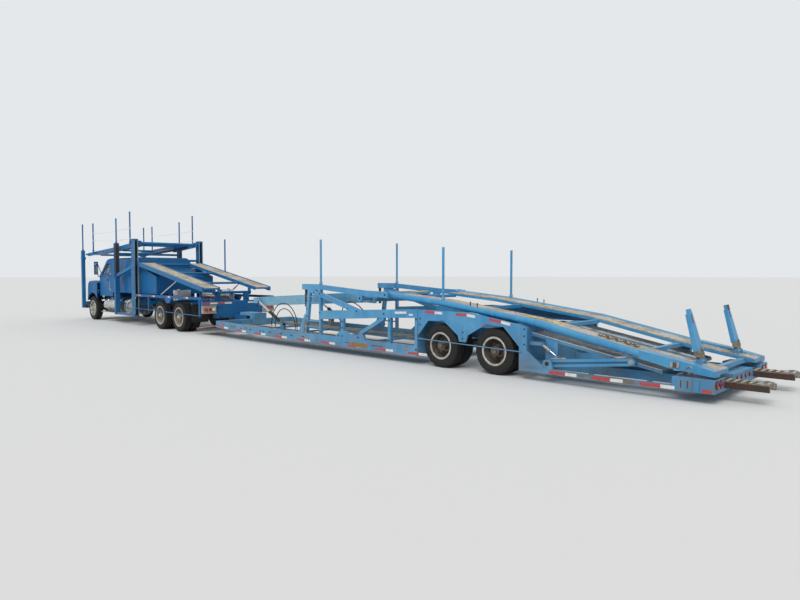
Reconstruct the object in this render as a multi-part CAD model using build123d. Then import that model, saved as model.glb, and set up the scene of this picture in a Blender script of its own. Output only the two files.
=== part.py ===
"""Car transporter: a head-rack truck and its stinger-steered semi-trailer, decks lowered for loading.

All sizes are millimetres. While the pieces are drawn, stations run forward along X from the trailer's
rear axle, Y runs to the left and Z up from the ground. The rig is moved along X at the end, so that
its origin lies under the middle of its box.
"""
from build123d import *
import math
import os

# Overall sizes
half_width = 1295
bumper_face = 20480
skid_tip = -4250
middle_station = (bumper_face + skid_tip) / 2

# Wheel stations and tyre sizes
trailer_axle_gap = 1250
trailer_axles_at = (0, trailer_axle_gap)
drive_rear_at = 12000
drive_axle_gap = 1300
drive_axles_at = (drive_rear_at, drive_rear_at + drive_axle_gap)
front_axle_at = 19450
pivot_at = 9950
dual_face_y = half_width - 60
truck_tyre_radius = 457
truck_tyre_width = 250
truck_tyre_spacing = 300
truck_seat_radius = 288
trailer_tyre_radius = 421
trailer_tyre_width = 240
trailer_tyre_spacing = 280
trailer_seat_radius = 250
front_wheel_y = half_width - 275
kingpin_y = front_wheel_y - 170

# Clearances
seat_gap = 0.3
pin_gap = 0.05
bore_gap = 0.3
door_gap = 6

# Truck frame
rail_in_y = 355
rail_out_y = 430
rail_low = 700
rail_top = 960
rail_front = 20130
rail_rear = 10600
tongue_low = 430
tongue_top = 560
tongue_half = 180
kingpin_radius = 50
stinger_block_half = 760
lamp_box_gap = 40

# Head rack posts and upper deck over the cab
post_out_y = half_width - 5
post_width = 160
post_in_y = post_out_y - post_width
front_post = (20100, 20220)
front_post_width = 120
front_post_top = 2740
post_collar = (2380, 2480)
post_a = (16780, 16900)
post_b = (15130, 15360)
post_b_plate = 35
post_low = 300
cab_deck_pivot = (15245, 2880)
cab_deck_out_y = post_in_y - 40
cab_deck_rail = 90
pivot_tube_radius = 50
pole_radius = 25

# Cab, sleeper and hood
cab_side_gap = 90
cab_half = post_in_y - cab_side_gap
cab_opening_half = cab_half - 180
cab_wall = 45
cab_low = 960
cab_roof = 2400
cab_rear = 17700
cab_front = 18960
sleeper_rear = 13950
sleeper_low = 1120
hood_rear = 18985
hood_front = 20400
hood_wall = 25
fender_y = half_width - 145
hood_hinge = (20390, 712)
hood_pin_radius = 12
door_hinge_radius = 5.5
door_hinge_pin = 3
door_hinge = (18950, cab_half + door_hinge_radius + 0.5)
door_hinge_heights = (1120, 1640)
wheel_arch_radius = 600

# Ramp over the drive wheels
ramp_pivot = (10900, 1230)
ramp_rear = 10560
ramp_front = 15040
ramp_rear_top = 1400
ramp_slope = 0.182

# Trailer
truss_out_y = half_width - 5
truss_in_y = truss_out_y - 75
ramp_out_y = truss_in_y - 15
lower_ramp_out_y = truss_in_y - 155
lower_ramp_cheek = 18
arm_gap = 10
arm_in_y = lower_ramp_out_y + lower_ramp_cheek + arm_gap
arm_out_y = truss_in_y - 25
fender_out_y = truss_out_y - 15
fender_in_y = fender_out_y - 25
front_deck_pivot = (3500, 1270)
rear_deck_pivot = (2720, 1360)
arm_pivot = (-1080, 310)
flipper_pivot = (-3370, 536)

# Holes where a chain or a tow pin is fastened
tow_hole_x = 20440
tow_hole_y = 600
tow_hole_radius = 20
tie_hole_x = -3400
tie_hole_y = half_width - 45
tie_hole_radius = 18


def block(x, y, z):
    """Rectangular block between two stations, two sides and two heights."""
    centre = Pos((x[0] + x[1]) / 2, (y[0] + y[1]) / 2, (z[0] + z[1]) / 2)
    return centre * Box(x[1] - x[0], y[1] - y[0], z[1] - z[0])


def side_plate(outline, y):
    """Upright plate with an outline of (station, height) points, thick from one side to the other."""
    wire = Wire.make_polygon([Vector(x, y[0], z) for x, z in outline])
    return extrude(Face(wire), amount=y[1] - y[0], dir=(0, 1, 0))


def bar(start, end, deep, y):
    """Straight bar between two (station, height) points, square to its own line."""
    run = Vector(end[0] - start[0], end[1] - start[1], 0).normalized()
    up = (-run.Y * deep / 2, run.X * deep / 2)
    outline = [(start[0] + up[0], start[1] + up[1]), (end[0] + up[0], end[1] + up[1]),
               (end[0] - up[0], end[1] - up[1]), (start[0] - up[0], start[1] - up[1])]
    return side_plate(outline, y)


def ribbon(line, above, below, y):
    """Plate that follows a line of (station, height) points, from below it to above it."""
    top = [(x, z + above) for x, z in line]
    under = [(x, z - below) for x, z in reversed(line)]
    return side_plate(top + under, y)


def rod(start, end, radius):
    """Round bar between two points."""
    first = Vector(*start)
    run = Vector(*end) - first
    return Solid.make_cylinder(radius, run.length, Plane(origin=first, z_dir=run))


def cross_rod(x, z, y, radius):
    """Round bar across the rig."""
    return rod((x, y[0], z), (x, y[1], z), radius)


def both_sides(shape):
    """The shape and its mirror image on the right side."""
    return Part() + [shape, mirror(shape, about=Plane.XZ)]


def joined(shapes):
    """Pieces welded into one."""
    return Part() + shapes


def line_height(line, x):
    """Height of a line of (station, height) points at one station."""
    ordered = sorted(line)
    for (x0, z0), (x1, z1) in zip(ordered, ordered[1:]):
        if x0 <= x <= x1:
            return z0 + (z1 - z0) * (x - x0) / (x1 - x0)
    return ordered[0][1] if x < ordered[0][0] else ordered[-1][1]


def turned(outline):
    """Ring or disc turned about the Y axis from an outline of (side, radius) points."""
    return revolve(Face(Wire.make_polygon([Vector(0, y, r) for y, r in outline])), axis=Axis.Y)


# Wheels
def tyre(radius, width, seat):
    """One tyre about the Y axis, with bulged side walls and square shoulders."""
    half = [(0.42 * width, seat), (0.5 * width, seat + 0.45 * (radius - seat)),
            (0.46 * width, radius - 0.1 * width), (0.38 * width, radius)]
    return turned(half + [(-y, r) for y, r in reversed(half)])


def hand_holes(radius, size, count):
    """Round ring of holes through a wheel disc."""
    hole = extrude(Plane.XZ * RegularPolygon(size, 6), amount=400, both=True)
    return [Rot(0, 360 / count * i, 0) * Pos(0, 0, radius) * hole for i in range(count)]


def dual_rim(width, spacing, seat):
    """Two rims back to back on one hub and drum, about the Y axis, hub outward."""
    edge = spacing / 2 + 0.42 * width
    drum = seat - 82
    inner = seat - 24
    outline = [(edge - 20, 0), (edge - 20, 62), (95, 80), (95, 122), (16, 130), (16, seat - 60),
               (40, inner), (edge + 13, inner), (edge + 13, seat + 14), (edge + 5, seat + 14),
               (edge + 5, seat - seat_gap), (-edge - 5, seat - seat_gap), (-edge - 5, seat + 14),
               (-edge - 13, seat + 14), (-edge - 13, inner), (-40, inner), (-16, seat - 60),
               (-16, drum), (-edge + 10, drum), (-edge + 10, 0)]
    return turned(outline)


def front_rim(width, seat):
    """One rim with its disc near the outer face, about the Y axis, hub outward."""
    edge = 0.42 * width
    drum = seat - 82
    inner = seat - 24
    outline = [(edge + 40, 0), (edge + 40, 65), (edge - 20, 85), (edge - 20, 140), (edge - 45, seat - 70),
               (20, inner), (edge + 13, inner), (edge + 13, seat + 14), (edge + 5, seat + 14),
               (edge + 5, seat - seat_gap), (-edge - 5, seat - seat_gap), (-edge - 5, seat + 14),
               (-edge - 13, seat + 14), (-edge - 13, inner), (0, inner), (edge - 65, seat - 70),
               (edge - 65, drum), (-edge + 10, drum), (-edge + 10, 0)]
    return turned(outline)


def dual_middle(spacing, width):
    """Side of the plane midway between twin tyres."""
    return dual_face_y - width / 2 - spacing / 2


def drum_end(spacing, width):
    """Side at which a twin wheel's drum ends and its axle begins."""
    return dual_middle(spacing, width) - spacing / 2 - 0.42 * width + 10


def twin_tyres(radius, width, spacing, seat):
    one = tyre(radius, width, seat)
    return Part() + [Pos(0, spacing / 2, 0) * one, Pos(0, -spacing / 2, 0) * one]


def wheel_nodes():
    """Tyre and rim of each wheel, by name."""
    nodes = {}
    duals = [  # name, stations, radius, width, spacing, seat radius
        ("drive", drive_axles_at, truck_tyre_radius, truck_tyre_width, truck_tyre_spacing, truck_seat_radius),
        ("trailer", trailer_axles_at, trailer_tyre_radius, trailer_tyre_width, trailer_tyre_spacing,
         trailer_seat_radius)]
    for name, stations, radius, width, spacing, seat in duals:
        tyres = twin_tyres(radius, width, spacing, seat)
        rim = dual_rim(width, spacing, seat)
        rim = rim - hand_holes((130 + seat - 60) / 2, 17, 5)
        for place, x in zip(("rear", "front"), stations):
            at = Pos(x, dual_middle(spacing, width), radius)
            for side in ("left", "right"):
                for kind, shape in (("tyre", tyres), ("rim", rim)):
                    placed = at * shape
                    if side == "right":
                        placed = mirror(placed, about=Plane.XZ)
                    nodes[f"{kind}_{name}_{place}_{side}"] = placed
    rim = front_rim(truck_tyre_width, truck_seat_radius) - hand_holes(172, 17, 5)
    at = Pos(front_axle_at, front_wheel_y, truck_tyre_radius)
    for kind, shape in (("tyre", tyre(truck_tyre_radius, truck_tyre_width, truck_seat_radius)), ("rim", rim)):
        nodes[f"{kind}_front_left"] = at * shape
        nodes[f"{kind}_front_right"] = mirror(at * shape, about=Plane.XZ)
    return nodes


# Truck chassis
def truck_frame():
    """Ladder frame with the stinger tongue, rear beam, side rails and mud flap hangers."""
    parts = []
    for side in (1, -1):
        ys = sorted((side * rail_in_y, side * rail_out_y))
        parts.append(block((rail_rear, rail_front), ys, (rail_low, rail_top)))
    for x in (12650, 14300, 15900, 17600, 20080):
        parts.append(block((x - 40, x + 40), (-rail_in_y, rail_in_y), (780, 940)))
    parts.append(block((10440, 10700), (-stinger_block_half, stinger_block_half), (470, 860)))
    beam_y = truss_in_y + 35
    plate_y = (truss_in_y, truss_out_y - 20)
    parts.append(block((10440, 10560), (-beam_y, beam_y), (860, 990)))
    parts.append(block((10560, 11300), (-rail_in_y, rail_in_y), (tongue_low + 40, 900)))
    parts.append(block((9800, 10700), (-tongue_half, tongue_half), (tongue_low, tongue_top)))
    parts.append(block((14150, 14350), (-rail_out_y, rail_out_y), (rail_top, sleeper_low)))
    parts.append(block((15800, 16000), (-rail_out_y, rail_out_y), (rail_top, sleeper_low)))
    parts.append(block((17400, 17600), (-rail_out_y, rail_out_y), (rail_top, sleeper_low)))
    # Hinge tube of the rear ramp on two stands
    parts.append(cross_rod(ramp_pivot[0], ramp_pivot[1], (-645, 645), 40))
    left = [block((10820, 10980), (440, 560), (rail_low, ramp_pivot[1] + 20)),
            block((10820, 10980), (rail_out_y, 440), (rail_low, rail_top)),
            side_plate([(10480, 1110), (post_b[0], 1110), (post_b[0], 1030), (12900, 1030), (12760, 870),
                        (12540, 870), (12400, 1030), (10640, 1030), (10640, 520), (10570, 520), (10570, 1030),
                        (10480, 1030)], plate_y),
            block((10480, 10560), (truss_in_y, beam_y), (990, 1110)),
            block((12610, 12690), (rail_out_y, truss_in_y), (880, 950)),
            block((14060, 14120), (rail_out_y, truss_in_y), (820, 900)),
            block((14060, 14120), plate_y, (540, 1030)),
            block((11100, 11160), (rail_out_y, dual_face_y + 5), (880, 930)),
            rod((10600, plate_y[1] + 10, 560), (post_b[0] - 3, plate_y[1] + 10, 620), 14),
            cross_rod(hood_hinge[0], hood_hinge[1], (250, 330), hood_pin_radius)]
    for y in ((250, 262), (318, 330)):
        left.append(bar((20100, 820), hood_hinge, 44, y))
        left.append(cross_rod(hood_hinge[0], hood_hinge[1], y, 22))
    for piece in left:
        parts.append(piece)
        parts.append(mirror(piece, about=Plane.XZ))
    frame = joined(parts)
    bore = rod((pivot_at, 0, tongue_low - 10), (pivot_at, 0, tongue_top + 10), kingpin_radius + pin_gap)
    return frame - bore


def engine_block():
    """Engine and gearbox as one plain mass on its mounts."""
    parts = [block((19010, 20000), (-300, 300), (620, 1380)), block((18250, 19010), (-200, 200), (600, 930)),
             block((19400, 19500), (-rail_in_y, rail_in_y), (720, 800))]
    return joined(parts)


def leaf_pack(x, low, half_length, end_low, thick, y):
    """Leaf spring: a bow of constant thickness with its ends up, and a hanger at each end."""
    ends = [(x - half_length, end_low), (x + half_length, end_low)]
    edges = [Edge.make_three_point_arc(Vector(ends[0][0], y[0], end_low), Vector(x, y[0], low),
                                       Vector(ends[1][0], y[0], end_low)),
             Edge.make_line(Vector(ends[1][0], y[0], end_low), Vector(ends[1][0], y[0], end_low + thick)),
             Edge.make_three_point_arc(Vector(ends[1][0], y[0], end_low + thick),
                                       Vector(x, y[0], low + thick),
                                       Vector(ends[0][0], y[0], end_low + thick)),
             Edge.make_line(Vector(ends[0][0], y[0], end_low + thick), Vector(ends[0][0], y[0], end_low))]
    return extrude(Face(Wire(edges)), amount=y[1] - y[0], dir=(0, 1, 0))


def truck_axles():
    """Front beam, two drive axles with their springs, and the propeller shaft."""
    spring_y = (rail_in_y + 8, rail_out_y - 8)
    axle_z = truck_tyre_radius
    x = front_axle_at
    end_y = kingpin_y - 18
    bend_y = kingpin_y - 230
    outline = [(-end_y, 500), (-end_y, 415), (-bend_y, 330), (bend_y, 330), (end_y, 415), (end_y, 500),
               (bend_y, 430), (-bend_y, 430)]
    beam = extrude(Face(Wire.make_polygon([Vector(x - 45, y, z) for y, z in outline])), amount=90,
                   dir=(1, 0, 0))
    front = [beam]
    for side in (1, -1):
        front.append(rod((x, side * kingpin_y, 400), (x, side * kingpin_y, 515), 48))
    pieces = [leaf_pack(x, 428, 540, 610, 40, spring_y)]
    for end in (-540, 540):
        pieces.append(block((x + end - 30, x + end + 30), spring_y, (600, rail_low)))
    for piece in pieces:
        front.append(piece)
        front.append(mirror(piece, about=Plane.XZ))
    shape = joined(front)
    for side in (1, -1):
        shape = shape - rod((x, side * kingpin_y, 380), (x, side * kingpin_y, 540), 22 + pin_gap)
    reach = drum_end(truck_tyre_spacing, truck_tyre_width) - seat_gap
    for x in drive_axles_at:
        housing = [cross_rod(x, axle_z, (-reach, reach), 72), cross_rod(x, axle_z, (-140, 140), 190),
                   rod((x, 0, axle_z), (x + 340, 0, axle_z + 20), 95)]
        for side in (1, -1):
            ys = sorted((side * spring_y[0], side * spring_y[1]))
            housing.append(leaf_pack(x, 525, 440, 600, 45, ys))
            for end in (-440, 440):
                housing.append(block((x + end - 30, x + end + 30), ys, (590, rail_low)))
        shape = shape + housing
    shaft = [rod((drive_axles_at[1] + 300, 0, axle_z + 18), (18245, 0, 720), 45),
             rod((drive_rear_at + 300, 0, axle_z + 18), (drive_axles_at[1] - 150, 0, axle_z + 40), 45)]
    return shape + shaft


def knuckle():
    """Left steering knuckle: kingpin, two ears, spindle flange and steering arm."""
    x = front_axle_at
    y = kingpin_y
    axle_z = truck_tyre_radius
    flange_y = front_wheel_y - 0.42 * truck_tyre_width + 10 - seat_gap
    parts = [rod((x, y, 345), (x, y, 570), 22)]
    for low, high in ((516, 560), (355, 399)):
        parts.append(rod((x, y, low), (x, y, high), 45))
        parts.append(block((x - 45, x + 45), (y, flange_y), (low, high)))
    parts = parts + [
             block((x - 60, x + 60), (y + 52, flange_y), (355, 560)),
             rod((x, y + 52, axle_z), (x, flange_y, axle_z), 110),
             block((x - 260, x - 40), (y + 10, y + 50), (520, 556))]
    return joined(parts)


def fuel_tanks():
    """Round tanks along both sides on brackets, with a step plate under the front pair."""
    parts = []
    for start, end in ((17050, 18550), (15450, 16650)):
        parts.append(rod((start, 770, 640), (end, 770, 640), 280))
        for x in (start + 250, end - 250):
            parts.append(block((x - 30, x + 30), (rail_out_y, 520), (620, 760)))
    parts.append(block((17000, 18650), (900, 1120), (350, 372)))
    for x in (17200, 18400):
        parts.append(block((x - 20, x + 20), (900, 925), (360, 600)))
    # Air tanks on saddles over the frame rails
    parts.append(rod((11350, 250, 1100), (12200, 250, 1100), 105))
    for x in (11500, 12050):
        parts.append(block((x - 25, x + 25), (190, rail_out_y), (rail_top + seat_gap, 1020)))
    # Oil tank between the drive tyres
    parts.append(block((12500, 12800), (560, 1010), (950 + seat_gap, 1280)))
    parts.append(rod((12650, 900, 1280), (12650, 900, 1310), 45))
    return both_sides(joined(parts))


def front_bumper():
    """Bumper with swept ends, on two brackets."""
    flat_y = fender_y - 220
    plan = [(20300, -fender_y), (20400, -fender_y), (bumper_face, -flat_y), (bumper_face, flat_y),
            (20400, fender_y), (20300, fender_y)]
    face = Face(Wire.make_polygon([Vector(x, y, 430) for x, y in plan]))
    parts = [extrude(face, amount=250, dir=(0, 0, 1))]
    for side in (1, -1):
        parts.append(block((front_post[1], 20310), sorted((side * 360, side * 425)), (590, 675)))
    shape = joined(parts)
    for side in (1, -1):
        at = (tow_hole_x, side * tow_hole_y)
        shape = shape - rod((*at, 400), (*at, 700), tow_hole_radius)
    return shape


# Cab
def drawn_in(sketch, inset):
    """Face with its outline moved inward by the inset."""
    return offset(sketch, amount=-inset, kind=Kind.INTERSECTION) if inset else sketch


def front_form(low, inset):
    """Front outline of cab and sleeper with rounded roof edges, drawn in by the inset."""
    roof_half = cab_half - 80
    sketch = make_face(Polyline((-cab_half, low), (cab_half, low), (cab_half, 1800), (roof_half, cab_roof),
                                (-roof_half, cab_roof), (-cab_half, 1800), close=True))
    sketch = fillet(sketch.vertices().group_by(Axis.Y)[-1], 130)
    return drawn_in(sketch, inset)


def body_form(side_outline, low, inset):
    """Closed body: its side outline crossed with its rounded front outline."""
    side = drawn_in(make_face(Polyline(*side_outline, close=True)), inset)
    front = front_form(low, inset)
    along = extrude(Plane.YZ.offset(cab_rear) * front, amount=5000, both=True)
    across = extrude(Plane.XZ * side, amount=1500, both=True)
    return along & across


cab_outline = [(cab_rear, cab_low), (cab_front, cab_low), (cab_front, 1790), (18860, 1810), (18400, 2340),
               (18330, 2383), (18220, cab_roof), (cab_rear, cab_roof)]
sleeper_outline = [(sleeper_rear, sleeper_low), (cab_rear, sleeper_low), (cab_rear, cab_roof),
                   (15650, cab_roof), (15330, 2030), (15000, 1990), (sleeper_rear, 1720)]
door_outline = [(17940, 975), (18934, 975), (18934, 1770), (18790, 1800), (18370, 2270), (17940, 2270)]
window_outline = [(18010, 1800), (18690, 1800), (18340, 2200), (18010, 2200)]


def grown(outline, amount):
    """Prism across the left side of the cab from an outline drawn out by the amount."""
    sketch = make_face(Polyline(*outline, close=True))
    if amount:
        sketch = offset(sketch, amount=amount, kind=Kind.INTERSECTION)
    return extrude(Plane.XZ.offset(-950) * sketch, amount=250, both=True)


def cab_body(inset):
    return body_form(cab_outline, cab_low, inset)


def inside_of_sides(inset):
    """Long prism of the cab's front outline, drawn in by the inset: what lies inside its side walls."""
    front = front_form(cab_low - 400, inset)
    return extrude(Plane.YZ.offset(cab_rear) * front, amount=5000, both=True)


def door_hinges(on_cab):
    """Left door's two hinges: pins and end knuckles on the cab, or middle knuckles on the door."""
    x, y = door_hinge
    skin_y = cab_half - 1
    parts = []
    for low in door_hinge_heights:
        thirds = [low + 30 * i for i in range(4)]
        if on_cab:
            parts.append(rod((x, y, thirds[0]), (x, y, thirds[3]), door_hinge_pin))
            for i in (0, 2):
                parts.append(rod((x, y, thirds[i]), (x, y, thirds[i + 1]), door_hinge_radius))
                parts.append(block((x, cab_front - 1), (skin_y, y), (thirds[i], thirds[i + 1])))
        else:
            ends = (thirds[1] + seat_gap, thirds[2] - seat_gap)
            leaf = block((x - 50, x), (skin_y, y), ends)
            leaf = leaf - block((x - 15, x), (skin_y, cab_half + seat_gap), ends)
            knuckle = leaf + rod((x, y, ends[0]), (x, y, ends[1]), door_hinge_radius)
            parts.append(knuckle - rod((x, y, low), (x, y, thirds[3]), door_hinge_pin + bore_gap))
    return parts


def cab_shell():
    """Hollow cab: floor, cowl, pillars and roof, with door, windscreen and rear openings cut."""
    shell = cab_body(0) - cab_body(cab_wall)
    opening = grown(door_outline, door_gap) - inside_of_sides(cab_wall + door_gap)
    shell = shell - [opening, mirror(opening, about=Plane.XZ)]
    across = (-cab_opening_half, cab_opening_half)
    screen = side_plate([(18700, 1850), (18950, 1850), (18560, 2290), (18300, 2290)], across)
    rear = block((cab_rear - 10, cab_rear + 60), across, (1180, 2280))
    return shell - [screen, rear] + both_sides(joined(door_hinges(True)))


def sleeper_shell():
    """Hollow low sleeper with a stepped roof that clears the ramp, open to the cab."""
    outer = body_form(sleeper_outline, sleeper_low, 0)
    inner = body_form(sleeper_outline, sleeper_low, cab_wall)
    opening = block((cab_rear - 60, cab_rear + 10), (-cab_opening_half, cab_opening_half), (1180, 2280))
    return outer - [inner, opening]


def cab_glass():
    """Windscreen in its slanted opening."""
    def face_x(z):
        return 18860 - (z - 1810) * 460 / 530

    low, high = 1850 + seat_gap, 2290 - seat_gap
    half = cab_opening_half - seat_gap
    return side_plate([(face_x(low) - 12, low), (face_x(low) - 20, low), (face_x(high) - 20, high),
                       (face_x(high) - 12, high)], (-half, half))


def door_left():
    """Door cut from the cab's own wall, with its window opening and the tall mirror on two arms."""
    door = (cab_body(0) & grown(door_outline, 0)) - [inside_of_sides(cab_wall), grown(window_outline, 0)]
    arm_y = cab_half + 120
    mirror_parts = [block((18810, 18860), (arm_y - 10, half_width - 5), (1780, 2280)),
                    block((18820, 18850), (cab_half - 10, arm_y), (1700, 1730)),
                    block((18820, 18850), (arm_y - 20, arm_y), (1700, 1790)),
                    rod((18835, arm_y, 2200), (18740, cab_half - 10, 1740), 14)]
    return joined([door] + mirror_parts + door_hinges(False))


def door_left_glass():
    """Pane in the door's window opening, following the door's slope."""
    layer = cab_body(18) - cab_body(24)
    return layer & grown(window_outline, -seat_gap)


def cab_interior():
    """Two seats on plinths, dashboard, steering wheel and the bunk."""
    floor = cab_low + cab_wall
    parts = []
    for side in (1, -1):
        seat = [block((18040, 18320), sorted((side * 300, side * 640)), (floor, 1300)),
                block((17960, 18440), sorted((side * 220, side * 720)), (1300, 1430)),
                bar((17990, 1420), (17840, 2120), 110, sorted((side * 230, side * 710)))]
        parts.append(joined(seat))
    dash_half = cab_half - 100
    dash = side_plate([(18560, 1420), (18880, floor), (18880, 1740), (18640, 1740), (18560, 1640)],
                      (-dash_half, dash_half))
    wheel = Pos(18470, 470, 1640) * Rot(0, -60, 0) * Torus(215, 16)
    spokes = [rod((18470, 470, 1640), (18620, 470, 1560), 20),
              rod((18470, 255, 1640), (18470, 685, 1640), 11)]
    parts.append(joined([dash, wheel] + spokes))
    bunk_half = cab_half - 140
    parts.append(block((sleeper_rear + 60, 15200), (-bunk_half, bunk_half), (sleeper_low + cab_wall, 1400)))
    return Part() + parts


# Hood
def nose_section(x, half, low, top, radius, inset, drop):
    """Rounded rectangular section of the hood's middle at one station."""
    width = 2 * (half - inset)
    height = top - inset - (low - drop)
    sketch = RectangleRounded(width, height, radius)
    return Plane.YZ.offset(x) * Pos(0, low - drop + height / 2) * sketch


def hood_body(inset):
    """Nose and fenders. The inset form also runs past the rear and the underside, to leave them open."""
    past = 60 if inset else 0
    rear_x = hood_rear - past
    nose = loft([nose_section(rear_x, cab_half - 140, 960, 1750, 110, inset, 3 * past),
                 nose_section(hood_front - inset, 530, 760, 1400, 90, inset, 3 * past)])
    side = [(rear_x, 800 - 3 * past), (rear_x, 1480 - inset), (19250, 1550 - inset), (19750, 1520 - inset),
            (20200 - inset * 0.7, 1240 - inset * 0.7), (20330 - inset, 1000), (20380 - inset, 745 - 3 * past)]
    plan = [(rear_x, 400), (rear_x, fender_y - inset), (19900, fender_y - inset),
            (20280 - inset * 0.5, fender_y - 110 - inset), (20390 - inset, 700), (20390 - inset, 400)]
    across = side_plate(side, (400, fender_y))
    base = Face(Wire.make_polygon([Vector(x, y, 500) for x, y in plan]))
    upward = extrude(base, amount=1200, dir=(0, 0, 1))
    fender = across & upward
    return Part() + [nose, fender, mirror(fender, about=Plane.XZ)]


lamp_sides = (600, 860)
lamp_heights = (1020, 1180)


def hood_wall_solid():
    shell = hood_body(0) - hood_body(hood_wall)
    arch = cross_rod(front_axle_at, truck_tyre_radius, (560, 1400), wheel_arch_radius)
    return shell - [arch, mirror(arch, about=Plane.XZ)]


def hood_shell():
    """Tilting hood with open wheel arches, lamp openings and a slatted grille."""
    shell = hood_wall_solid()
    grille = block((hood_front - 60, hood_front + 40), (-430, 430), (840, 1320))
    lamp = block((20100, 20500), lamp_sides, lamp_heights)
    shell = shell - [grille, lamp, mirror(lamp, about=Plane.XZ)]
    slats = []
    for i in range(8):
        z = 870 + 60 * i
        slats.append(block((hood_front - hood_wall, hood_front - 5), (-440, 440), (z - 9, z + 9)))
    lug = joined([block((hood_front - hood_wall, hood_front - 4), (268, 312), (hood_hinge[1], 820)),
                  cross_rod(hood_hinge[0], hood_hinge[1], (268, 312), 22)])
    lug = lug - cross_rod(hood_hinge[0], hood_hinge[1], (260, 320), hood_pin_radius + bore_gap)
    return shell + slats + both_sides(lug)


def headlamps():
    """Lamp glasses that fill the openings in the hood's front."""
    lamp = block((20100, 20500), (lamp_sides[0] + seat_gap, lamp_sides[1] - seat_gap),
                 (lamp_heights[0] + seat_gap, lamp_heights[1] - seat_gap))
    return both_sides((hood_body(0) - hood_body(hood_wall)) & lamp)


# Head rack
def headrack_frame():
    """Posts beside the cab with their poles, ties and the hinge tube of the deck over the cab."""
    front_y = (half_width - front_post_width, half_width)
    front_middle = (front_post[0] + front_post[1]) / 2
    pole_y = half_width - front_post_width / 2
    brace_y = (post_in_y + 20, post_out_y - 40)
    post_y = (post_in_y + post_out_y) / 2
    screw_x = (post_b[0] + post_b[1]) / 2
    left = [block(front_post, front_y, (450, front_post_top)),
            block((front_post[0] - 30, front_post[1] + 30), (front_y[0] - 15, half_width), post_collar),
            block((front_post[0] - 70, front_post[1]), (0, front_y[0] + 5), (580, rail_low)),
            rod((front_middle, pole_y, front_post_top - 40), (front_middle, pole_y, 3790), pole_radius),
            block(post_a, (post_in_y, post_out_y), (330, 2930)),
            rod((16840, post_y, 2900), (16840, post_y, 3830), pole_radius),
            block(post_b, (post_out_y - post_b_plate, post_out_y), (post_low, 2970)),
            block(post_b, (post_in_y, post_in_y + post_b_plate), (post_low, 2970)),
            block((post_b[1] - post_b_plate, post_b[1]), (post_in_y, post_out_y), (post_low, 2970)),
            block(post_b, (post_in_y, post_out_y), (2960, 3020)),
            block(post_b, (post_in_y, post_out_y), (post_low, 380)),
            rod((screw_x, post_y, 370), (screw_x, post_y, 2970), 40),
            block((16800, 16880), (rail_out_y, post_in_y), (720, 820)),
            block((15205, 15285), (rail_out_y, post_in_y), (720, 820)),
            block((15190, 15300), (post_in_y, post_in_y + 50), (700, 840)),
            block((16800, 16880), (0, post_in_y), (2500, 2580)),
            block((15205, 15285), (0, post_in_y), (2250, 2330)),
            block((15190, 15300), (post_in_y, post_in_y + 50), (2230, 2350)),
            bar((16800, 1750), (15340, 2080), 110, brace_y),
            bar((16800, 370), (15340, 370), 80, brace_y),
            cross_rod(cab_deck_pivot[0], cab_deck_pivot[1], (0, post_in_y + 20), pivot_tube_radius)]
    parts = []
    for piece in left:
        parts.append(piece)
        parts.append(mirror(piece, about=Plane.XZ))
    return joined(parts)


cab_deck_line = [(15160, 2960), (16900, 2820), (20060, 2640)]


def cab_deck():
    """Upper deck over the cab: two side rails, two runways, cross tubes and poles."""
    rail_y = (cab_deck_out_y - cab_deck_rail, cab_deck_out_y)
    pole_y = post_in_y + 45
    rear_rail = side_plate([(15160, 2960), (16950, 2816), (16950, 2650), (15160, 2800)], rail_y)
    front_rail = side_plate([(16900, 2820), (20060, 2640), (20060, 2530), (16900, 2700)], rail_y)
    runway = ribbon([(15700, line_height(cab_deck_line, 15700)), (16900, 2820), (20060, 2640)], -20, 70,
                    (560, rail_y[0] + 5))
    left = [rear_rail, front_rail, runway, cross_rod(cab_deck_pivot[0], cab_deck_pivot[1], rail_y, 88)]
    for x in (15900, 17800, 20000):
        left.append(cross_rod(x, line_height(cab_deck_line, x) - 60, (-10, 600), 38))
    for x, top in ((19200, 3780), (15700, 4000)):
        base = line_height(cab_deck_line, x) - 90
        left.append(block((x - 40, x + 40), (rail_y[1] - 10, pole_y + 30), (base, base + 60)))
        left.append(rod((x, pole_y, base), (x, pole_y, top), pole_radius))
    left.append(block((20000, 20060), (rail_y[1] - 10, half_width - front_post_width - 10), (2560, 2620)))
    parts = []
    for piece in left:
        parts.append(piece)
        parts.append(mirror(piece, about=Plane.XZ))
    bore = cross_rod(cab_deck_pivot[0], cab_deck_pivot[1], (-1200, 1200), pivot_tube_radius + bore_gap)
    return joined(parts) - bore


def ramp_top(x):
    return ramp_rear_top + (x - ramp_rear) * ramp_slope


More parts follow.
